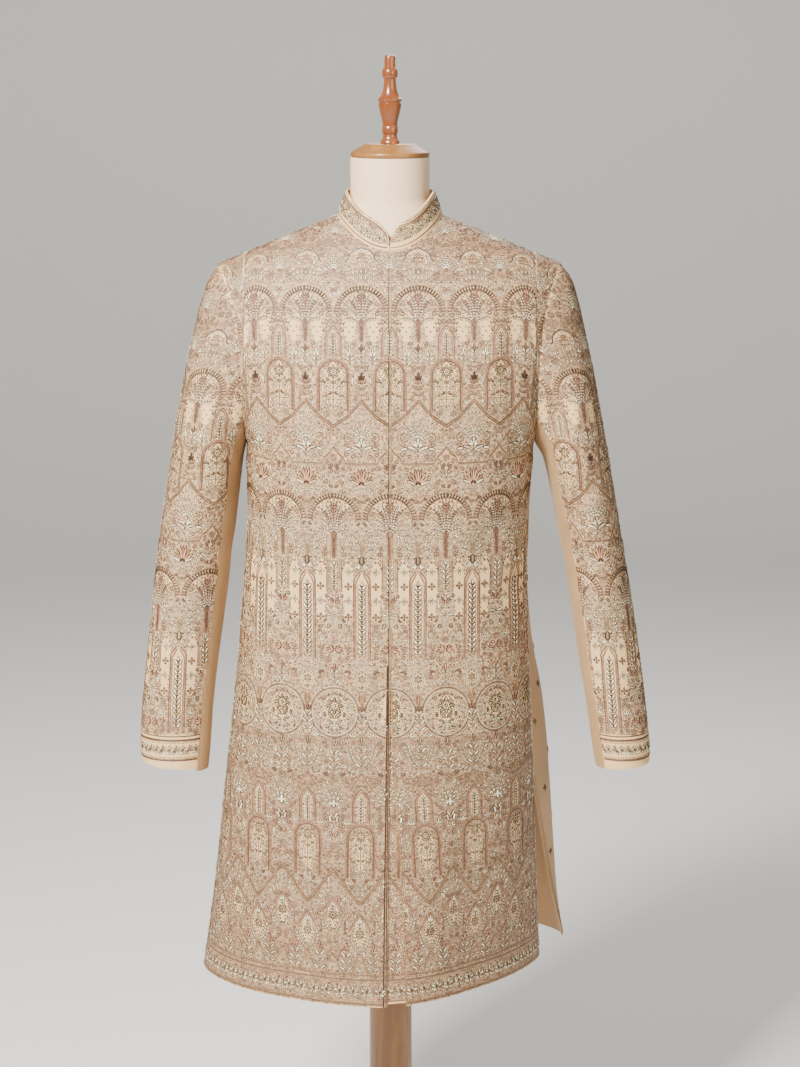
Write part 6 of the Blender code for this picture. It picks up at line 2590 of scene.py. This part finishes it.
@dataclass
class StandCollar:
    """The stand collar with rounded ends that meet at the centre front."""

    coat: Coat
    height: float = 0.037
    side_drop: float = 0.005
    centre: float = 0.015
    half_depth: float = 0.075
    foot: float = 0.0008
    end: float = 0.24
    corners: tuple[float, float] = (0.030, 0.036)
    leans: tuple[float, float, float] = (0.007, 0.013, 0.005)

    def points(self, angle: np.ndarray, rise: np.ndarray, depth: float, share: bool) -> np.ndarray:
        """Points of the collar.

        Args:
            angle: Degrees from the left front end round to the right one.
            rise: Share of the height, or the height itself.
            depth: How far inwards the points lie.
            share: Whether the rise is a share of the height.

        Returns:
            Rises by angles by 3.
        """
        side = np.where(angle < 180.0, -1.0, 1.0)
        turned = np.where(angle < 180.0, angle, 360.0 - angle)
        front = turned <= 90.0
        quarter = np.radians(np.where(front, turned, 180.0 - turned))
        low = np.where(front[:, None], neckline(quarter, True), neckline(quarter, False))
        low[:, 0] *= side
        outward = np.stack([low[:, 0] / NECK_X, (low[:, 1] + self.centre) / self.half_depth, 0.0 * side], axis=-1)
        outward = unit(outward)
        run = np.radians(turned) * NECK_X
        rounded = bow(1.0 - np.minimum(1.0, run / np.where(side > 0, self.corners[1], self.corners[0])), 2.0)
        sideways = np.sin(np.radians(turned)) ** 2
        tall = (self.height - self.side_drop * sideways) * mix(self.end, 1.0, rounded)
        middle = np.where(front, self.leans[0], self.leans[2])
        lean = mix(middle, self.leans[1], sideways)
        up = rise[:, None] * (tall[None, :] if share else 1.0)
        if not share:
            up = np.minimum(up, tall[None, :])
        inset = lean[None, :] * up / self.height + depth
        points = low[None] - outward[None] * inset[..., None]
        points[..., 2] += self.foot + up
        ends = turned < 1.0
        points[:, ends, 0] = side[ends] * SEAM
        return points

    def build(self) -> None:
        """Make the collar and its embroidery, with a cord just below its top edge."""
        angles = np.linspace(0.0, 360.0, 145)
        rises = np.linspace(0.0, 1.0, 13)
        outer = self.points(angles, rises, 0.0, True)
        inner = self.points(angles, rises, WALL, True)
        piece = wall("cloth_collar", outer, inner, np.array([0.0, 1.0, 0.0]), self.coat.ground)
        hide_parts("collar")
        levels = np.arange(0.0, self.height + 0.0026, ClothMap.step)
        lines_at = self.points(angles, levels, 0.0, False)
        lines_at[:, :, 2] = np.maximum(lines_at[:, :, 2], lines_at[:1, :, 2] + levels[:, None])
        outline = np.concatenate([outer[0], outer[1:, -1], outer[-1, -2::-1], outer[-2:0:-1, 0]])
        cloth = ClothMap(lines_at, 0.0, outline, np.array([0.0, 0.0, 1.5]))
        runs = run_lengths(lines_at[:1])[0] * 1000.0
        tops = (outer[-1, :, 2] - outer[0, :, 2]) * 1000.0
        made = Motifs()
        for inset, thread in ((1.0, Thread.SILK), (4.4, Thread.MAUVE), (6.6, Thread.GOLD)):
            made.cord([(run, top - inset) for run, top in zip(runs, tops) if top > inset + 2.0], thread, 0.8, 2.4)
        for y, thread in ((1.4, Thread.GOLD), (3.8, Thread.MAUVE)):
            made.cord([(3.0, y), (float(runs[-1]) - 3.0, y)], thread, 0.75, 3.0)
        rng = np.random.default_rng(5)
        hearts = []
        for at in np.arange(14.0, float(runs[-1]) - 12.0, 19.0):
            top = float(np.interp(at, runs, tops)) - 8.0
            if top > 14.0:
                hearts.append((at, 5.0 + 0.5 * (top - 5.0)))
                flower(made, at, hearts[-1][1], min(13.0, 0.7 * (top - 5.0)), 8, Thread.SILK, Thread.DARK)
        # Flat patches of painted shade among the collar's stitches
        for y in np.arange(4.8, 30.0, 2.5):
            for x in np.arange(4.0, float(runs[-1]) - 9.0, 5.0):
                if y + 2.5 < float(np.interp((x, x + 5.0), runs, tops).min()) - 7.4:
                    made.put(Form.PATCH, float(x), y + 1.25, 0.0, 5.05, 2.55, Thread.NET, PAINTED_SHADE_HEIGHT)
        shades = (Thread.SILK, Thread.SILK, Thread.SILK, Thread.MAUVE, Thread.MAUVE, Thread.BLUSH, Thread.SAGE)
        for y in np.arange(5.2, 30.0, 2.5):
            for x in np.arange(4.0, float(runs[-1]) - 4.0, 3.4):
                px, py = float(x + rng.uniform(-0.6, 0.6)), float(y + rng.uniform(-0.4, 0.4))
                top = float(np.interp(px, runs, tops)) - 8.6
                if py > top or any(math.hypot(px - at, py - middle) < 6.2 for at, middle in hearts):
                    continue
                turn = 90.0 + 70.0 * math.sin(px / 4.3) * math.cos(py / 4.1)
                made.stitch(px, py, turn, float(rng.uniform(3.4, 4.4)), shades[int(rng.integers(7))], 1.5)
        sewn = sew("embroidery_collar", cloth, stamp(made.array(), [0.0]), self.coat.threads, 0.0004, 21)
        self.coat.finish(piece, "embroidered", sewn)


@dataclass
class Underlap:
    """The strip behind the front closure, from the hem up to the chest."""

    coat: Coat
    gap: float = 0.0006
    share: float = 0.55
    first_columns: int = 8
    yoke_rows: float = 3.0
    rise: float = 0.07

    def strip(self, rows: np.ndarray, depth: float) -> np.ndarray:
        """Points of the strip, moved inwards from the fronts.

        Args:
            rows: Rows of the body.
            depth: How far inwards.

        Returns:
            Rows by columns by 3.
        """
        shares = np.linspace(0.0, self.share / self.first_columns, 7)
        left, left_out = body_sheet(-1, True, rows, shares)
        right, right_out = body_sheet(1, True, rows, shares)
        left = left - left_out * depth
        right = right - right_out * depth
        bridge = mix(left[:, :1], right[:, :1], np.array([0.25, 0.5, 0.75])[None, :, None])
        return np.concatenate([left[:, ::-1], bridge, right], axis=1)

    def build(self) -> None:
        """Make the strip and its embroidery."""
        rows = np.linspace(self.rise, SKIRT_ROWS + self.yoke_rows, 97)
        outer = self.strip(rows, WALL + self.gap)
        inner = self.strip(rows, 2.0 * WALL + self.gap)
        piece = wall("cloth_underlap", outer, inner, np.array([0.0, -1.0, 0.0]), self.coat.ground)
        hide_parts("underlap")
        levels = np.arange(HEM_Z, 0.95, ClothMap.step)
        fine = (levels - HEM_Z) / (UNDERARM_Z - HEM_Z) * SKIRT_ROWS
        lines_at = self.strip(fine, WALL + self.gap)
        seen = outer[rows < (0.94 - HEM_Z) / (UNDERARM_Z - HEM_Z) * SKIRT_ROWS]
        outline = np.concatenate([seen[0], seen[1:, -1], seen[-1, -2::-1], seen[-2:0:-1, 0]])
        cloth = ClothMap(lines_at, HEM_Z, outline, np.array([0.0, 0.0, 0.7]))
        stitches = stamp(self.coat.repeat.rows, [-12.0, 63.0], 0.0, 0.0, 930.0)
        stitches[:, 6] = np.minimum(stitches[:, 6], 0.0004)
        sewn = sew("embroidery_underlap", cloth, stitches, self.coat.threads, 0.001, 31)
        self.coat.finish(piece, "embroidered", sewn)


@dataclass
class DressForm:
    """The covered bust with its neck, the turned cap and finial, the post and base."""

    dyer: Dyer
    first_row: float = 7.0
    neck_room: float = 0.0015
    neck_r: float = 0.0533
    neck_y: float = -0.008
    neck_top_z: float = 1.5743
    neck_foot_z: float = 1.522
    rest: float = 0.0003
    base_height: float = 0.030
    base_r: float = 0.20
    eases: Table = Table(
        "z room",
        ((0.780, 0.014), (0.950, 0.012), (1.100, 0.010), (1.250, 0.008), (1.360, 0.006), (1.400, 0.0020),
         (1.425, 0.0006), (1.520, 0.0006)),
    )
    finial_turns: tuple = (
        (0.0000, 0.0129), (0.0030, 0.0129), (0.0048, 0.0114), (0.0065, 0.0102), (0.0095, 0.0096), (0.0125, 0.0093),
        (0.0135, 0.0106), (0.0180, 0.0108), (0.0225, 0.0106), (0.0235, 0.0098), (0.0290, 0.0104), (0.0340, 0.0117),
        (0.0390, 0.0130), (0.0440, 0.0142), (0.0490, 0.0152), (0.0530, 0.0155), (0.0545, 0.0143), (0.0560, 0.0158),
        (0.0575, 0.0161), (0.0590, 0.0159), (0.0605, 0.0140), (0.0640, 0.0118), (0.0670, 0.0106), (0.0700, 0.0096),
        (0.0750, 0.0087), (0.0800, 0.0081), (0.0855, 0.0081), (0.0870, 0.0098), (0.0900, 0.0104), (0.0925, 0.0106),
        (0.0950, 0.0104), (0.0980, 0.0098), (0.0998, 0.0077), (0.1060, 0.0072), (0.1130, 0.0074), (0.1145, 0.0071),
        (0.1158, 0.0062), (0.1165, 0.0040),
    )
    cap_turns: tuple = (
        (0.0000, 0.0515), (0.0004, 0.0524), (0.0012, 0.0530), (0.0034, 0.0531), (0.0056, 0.0530), (0.0061, 0.0527),
        (0.0066, 0.0520), (0.0098, 0.0466), (0.0131, 0.0410), (0.0164, 0.0355), (0.0170, 0.0348), (0.0174, 0.0338),
    )

    def grid(self, front: bool) -> np.ndarray:
        """Points of the right half of the bust under a front or back.

        Args:
            front: True for a front, False for the back.

        Returns:
            Points of the grid.
        """
        rows = np.concatenate([np.arange(self.first_row, 24.0, 0.25), [24.0, 24.25, 24.5, 24.75, 24.9, 25.0]])
        shares = np.linspace(0.0, 1.0, 33)
        points = body_point(1, front, rows[:, None], shares[None, :])
        normals = grid_normals(points) * (1.0 if front else -1.0)
        normals[:, 0, 0] = np.where(rows <= SKIRT_ROWS + NECK_ROW, 0.0, normals[:, 0, 0])
        seamed = rows <= SKIRT_ROWS
        if not front:
            points[seamed, -1] = body_point(1, True, rows[seamed], np.ones(seamed.sum()))
        normals[seamed, -1, 1] = 0.0
        normals = unit(normals)
        room = self.eases.read("room", points[..., 2])
        near = (1.0 - ease(0.0, 0.3, shares))[None, :] * (rows >= SKIRT_ROWS + NECK_ROW)[:, None]
        placed = points - normals * (WALL + room + self.neck_room * near)[..., None]
        low = rows <= SKIRT_ROWS + NECK_ROW
        placed[low, 0, 0] = 0.0
        placed[..., 0] = np.maximum(0.0, placed[..., 0])
        placed[0, :, 2] = HEM_Z + (UNDERARM_Z - HEM_Z) * self.first_row / SKIRT_ROWS
        self.neck_at = int(np.argmax(rows >= SKIRT_ROWS + NECK_ROW))
        self.yoke_at = int(np.argmax(rows >= SKIRT_ROWS))
        return placed

    def bust(self, material: bpy.types.Material) -> bpy.types.Object:
        """Make the covered bust as one closed form.

        Args:
            material: Material of the piece.

        Returns:
            The finished piece.
        """
        grids = [self.grid(True), self.grid(False)]
        front, back = grids
        plate = np.stack([front[self.yoke_at:, -1], back[self.yoke_at:, -1]], axis=1)
        flip = np.array([-1.0, 1.0, 1.0])
        sheets = [part * turned for part in (front, back, plate) for turned in (1.0, flip)]
        right = np.concatenate([front[self.neck_at:, 0], back[self.neck_at:-1, 0][::-1]])
        foot = np.concatenate([right, (right[1:-1] * flip)[::-1]])
        turns = 2.0 * math.pi * np.arange(len(foot)) / len(foot)
        goal = np.stack([self.neck_r * np.sin(turns), self.neck_y - self.neck_r * np.cos(turns),
                         np.full(len(foot), self.neck_foot_z)], axis=-1)
        rings = [foot]
        for share in np.linspace(0.1, 1.0, 10):
            blended = mix(foot, goal, ease(0.0, 1.0, np.array(share)))
            blended[:, 2] = mix(foot[:, 2], self.neck_foot_z, share)
            rings.append(blended)
        for height in np.linspace(self.neck_foot_z, self.neck_top_z, 7)[1:]:
            raised = rings[-1].copy()
            raised[:, 2] = height
            rings.append(raised)
        neck = np.stack(rings)
        sheets.append(np.concatenate([neck, neck[:, :1]], axis=1))
        mesh_data = bmesh.new()
        for sheet in sheets:
            verts = [[mesh_data.verts.new(point) for point in line] for line in sheet.tolist()]
            for low, high in zip(verts, verts[1:]):
                for corners in zip(low, low[1:], high[1:], high):
                    mesh_data.faces.new(corners)
        mesh_data.faces.new([mesh_data.verts.new(point) for point in neck[-1].tolist()])
        round_foot = np.concatenate([front[0], back[0, :-1][::-1]])
        round_foot = np.concatenate([round_foot, (round_foot[1:-1] * flip)[::-1]])
        mesh_data.faces.new([mesh_data.verts.new(point) for point in round_foot.tolist()])
        bmesh.ops.remove_doubles(mesh_data, verts=mesh_data.verts, dist=2e-5)
        bmesh.ops.dissolve_degenerate(mesh_data, edges=mesh_data.edges, dist=1e-6)
        bmesh.ops.recalc_face_normals(mesh_data, faces=mesh_data.faces)
        mesh = bpy.data.meshes.new("covered_bust")
        mesh_data.to_mesh(mesh)
        mesh_data.free()
        mesh.materials.append(material)
        mesh.shade_smooth()
        mesh.set_sharp_from_angle(angle=math.radians(60.0))
        piece = bpy.data.objects.new("covered_bust", mesh)
        bpy.context.scene.collection.objects.link(piece)
        return piece

    def turned(
        self, name: str, turns: tuple, foot_z: float, y: float, segments: int, material: bpy.types.Material,
    ) -> bpy.types.Object:
        """Turn a piece on the lathe: extrude and resize a disc up its profile.

        Args:
            name: Name of the piece.
            turns: Height and radius of each step of the profile.
            foot_z: Height of its underside.
            y: Place of its axis.
            segments: Sides of the disc.
            material: Its material.

        Returns:
            The turned piece.
        """
        bpy.ops.object.select_all(action="DESELECT")
        height, radius = turns[0]
        bpy.ops.mesh.primitive_circle_add(
            vertices=segments, radius=radius, fill_type="NGON", location=(0.0, y, foot_z + height)
        )
        piece = bpy.context.active_object
        piece.name = name
        bpy.ops.object.mode_set(mode="EDIT")
        bpy.ops.mesh.select_all(action="SELECT")
        for (low, before), (high, after) in zip(turns, turns[1:]):
            bpy.ops.mesh.extrude_region_move(TRANSFORM_OT_translate={"value": (0.0, 0.0, high - low)})
            share = after / before
            bpy.ops.transform.resize(value=(share, share, 1.0), center_override=(0.0, y, foot_z + high))
        bpy.ops.mesh.select_all(action="SELECT")
        bpy.ops.mesh.normals_make_consistent(inside=False)
        bpy.ops.object.mode_set(mode="OBJECT")
        bpy.ops.object.transform_apply(location=True, rotation=True, scale=True)
        bpy.ops.object.shade_smooth_by_angle(angle=math.radians(40.0))
        piece.data.materials.clear()
        piece.data.materials.append(material)
        return piece

    def build(self) -> None:
        """Make the bust, the cap, the finial, the post and the base."""
        cover = self.dyer.cloth(COVER)
        pale = self.dyer.wood(PALE_WOOD)
        red = self.dyer.wood(RED_WOOD)
        bust = self.bust(cover)
        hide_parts("form_bust")
        cap_foot = self.neck_top_z + self.rest
        cap = self.turned("turned_cap", self.cap_turns, cap_foot, self.neck_y, 72, pale)
        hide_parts("neck_cap")
        finial_foot = cap_foot + self.cap_turns[-1][0] + self.rest
        finial = self.turned("turned_finial", self.finial_turns, finial_foot, self.neck_y, 48, red)
        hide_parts("finial")
        top = HEM_Z + (UNDERARM_Z - HEM_Z) * self.first_row / SKIRT_ROWS
        height = top - self.base_height - 2.0 * self.rest
        post_turns = ((0.0, 0.031), (0.0015, 0.031), (0.5 * height, 0.030), (height, 0.029))
        post = self.turned("turned_post", post_turns, self.base_height + self.rest, 0.0, 64, pale)
        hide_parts("post")
        r = self.base_r
        base_turns = (
            (0.0, r - 0.002), (0.0008, r - 0.0006), (0.002, r), (0.018, r), (0.0205, r - 0.0010), (0.023, r - 0.0035),
            (0.0245, r - 0.0065), (0.0255, r - 0.0095), (0.0285, r - 0.0180), (self.base_height, r - 0.0240),
        )
        base = self.turned("turned_base", base_turns, 0.0, 0.0, 96, pale)
        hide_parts("base")
        woods = ((cap, "pale_wood"), (finial, "red_wood"), (post, "pale_wood"), (base, "pale_wood"))
        for piece, slot in ((bust, "bust"), *woods):
            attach(piece, BODY)
            LOG.info("%s: %d faces", piece.name, len(piece.data.polygons))


@dataclass
class Studio:
    """A pale floor that rolls up behind, soft lights and the camera."""

    camera_at: tuple[float, float, float] = (0.0135, -3.4, 1.754)
    pitch: float = 11.6
    lens: float = 84.35

    def floor(self) -> None:
        """Make the floor and the backdrop as one rolled sheet."""
        profile = [(-8.0, 0.0), (4.6, 0.0)]
        turns = np.radians(np.arange(7.5, 91.0, 7.5))
        profile += [(4.6 + 1.6 * math.sin(turn), 1.6 - 1.6 * math.cos(turn)) for turn in turns]
        profile.append((6.2, 8.0))
        points = np.array([(x, y, z - 0.0005) for y, z in profile for x in (-8.0, 8.0)])
        faces = [(2 * at, 2 * at + 1, 2 * at + 3, 2 * at + 2) for at in range(len(profile) - 1)]
        material = bpy.data.materials.new("studio_paper")
        material.use_nodes = True
        shader = material.node_tree.nodes["Principled BSDF"]
        shader.inputs["Base Color"].default_value = (0.86, 0.85, 0.83, 1.0)
        shader.inputs["Roughness"].default_value = 0.9
        mesh_piece("studio_floor", points, faces, [material])

    def light(self, name: str, place: tuple, size: float, power: float, color: tuple) -> None:
        """Hang one soft square light that looks at the chest.

        Args:
            name: Name of the lamp.
            place: Where it hangs, in metres.
            size: Side of the lamp in metres.
            power: Power in watts.
            color: Colour of the light.
        """
        lamp = bpy.data.lights.new(name, "AREA")
        lamp.size = size
        lamp.energy = power
        lamp.color = color
        item = bpy.data.objects.new(name, lamp)
        item.location = place
        item.rotation_euler = (Vector((0.0, 0.0, 1.0)) - Vector(place)).to_track_quat("-Z", "Y").to_euler()
        bpy.context.scene.collection.objects.link(item)

    def build(self) -> None:
        """Set the floor, the lights, the world and the camera."""
        self.floor()
        self.light("key", (-1.15, -1.9, 2.95), 0.55, 310.0, (1.0, 0.96, 0.90))
        self.light("fill", (2.4, -2.6, 2.2), 1.6, 40.0, (1.0, 0.98, 0.96))
        self.light("back", (0.5, 2.2, 3.0), 1.6, 50.0, (1.0, 1.0, 1.0))
        world = bpy.data.worlds.new("studio")
        world.use_nodes = True
        world.node_tree.nodes["Background"].inputs["Color"].default_value = (1.0, 0.98, 0.95, 1.0)
        world.node_tree.nodes["Background"].inputs["Strength"].default_value = 0.30
        bpy.context.scene.world = world
        camera = bpy.data.cameras.new("camera")
        camera.lens = self.lens
        camera.sensor_width = 36.0
        item = bpy.data.objects.new("camera", camera)
        item.location = self.camera_at
        item.rotation_euler = (math.radians(90.0 - self.pitch), 0.0, 0.0)
        bpy.context.scene.collection.objects.link(item)
        bpy.context.scene.camera = item


def main() -> None:
    """Build the studio, the form and the coat."""
    logging.basicConfig(level=logging.INFO, format="%(name)s %(message)s")
    Studio().build()
    dyer = Dyer()
    DressForm(dyer).build()
    coat = Coat(dyer)
    for side in (-1, 1):
        coat.front(side)
        coat.sleeves(side)
    coat.back()
    StandCollar(coat).build()
    Underlap(coat).build()


if __name__ == "__main__":
    main()
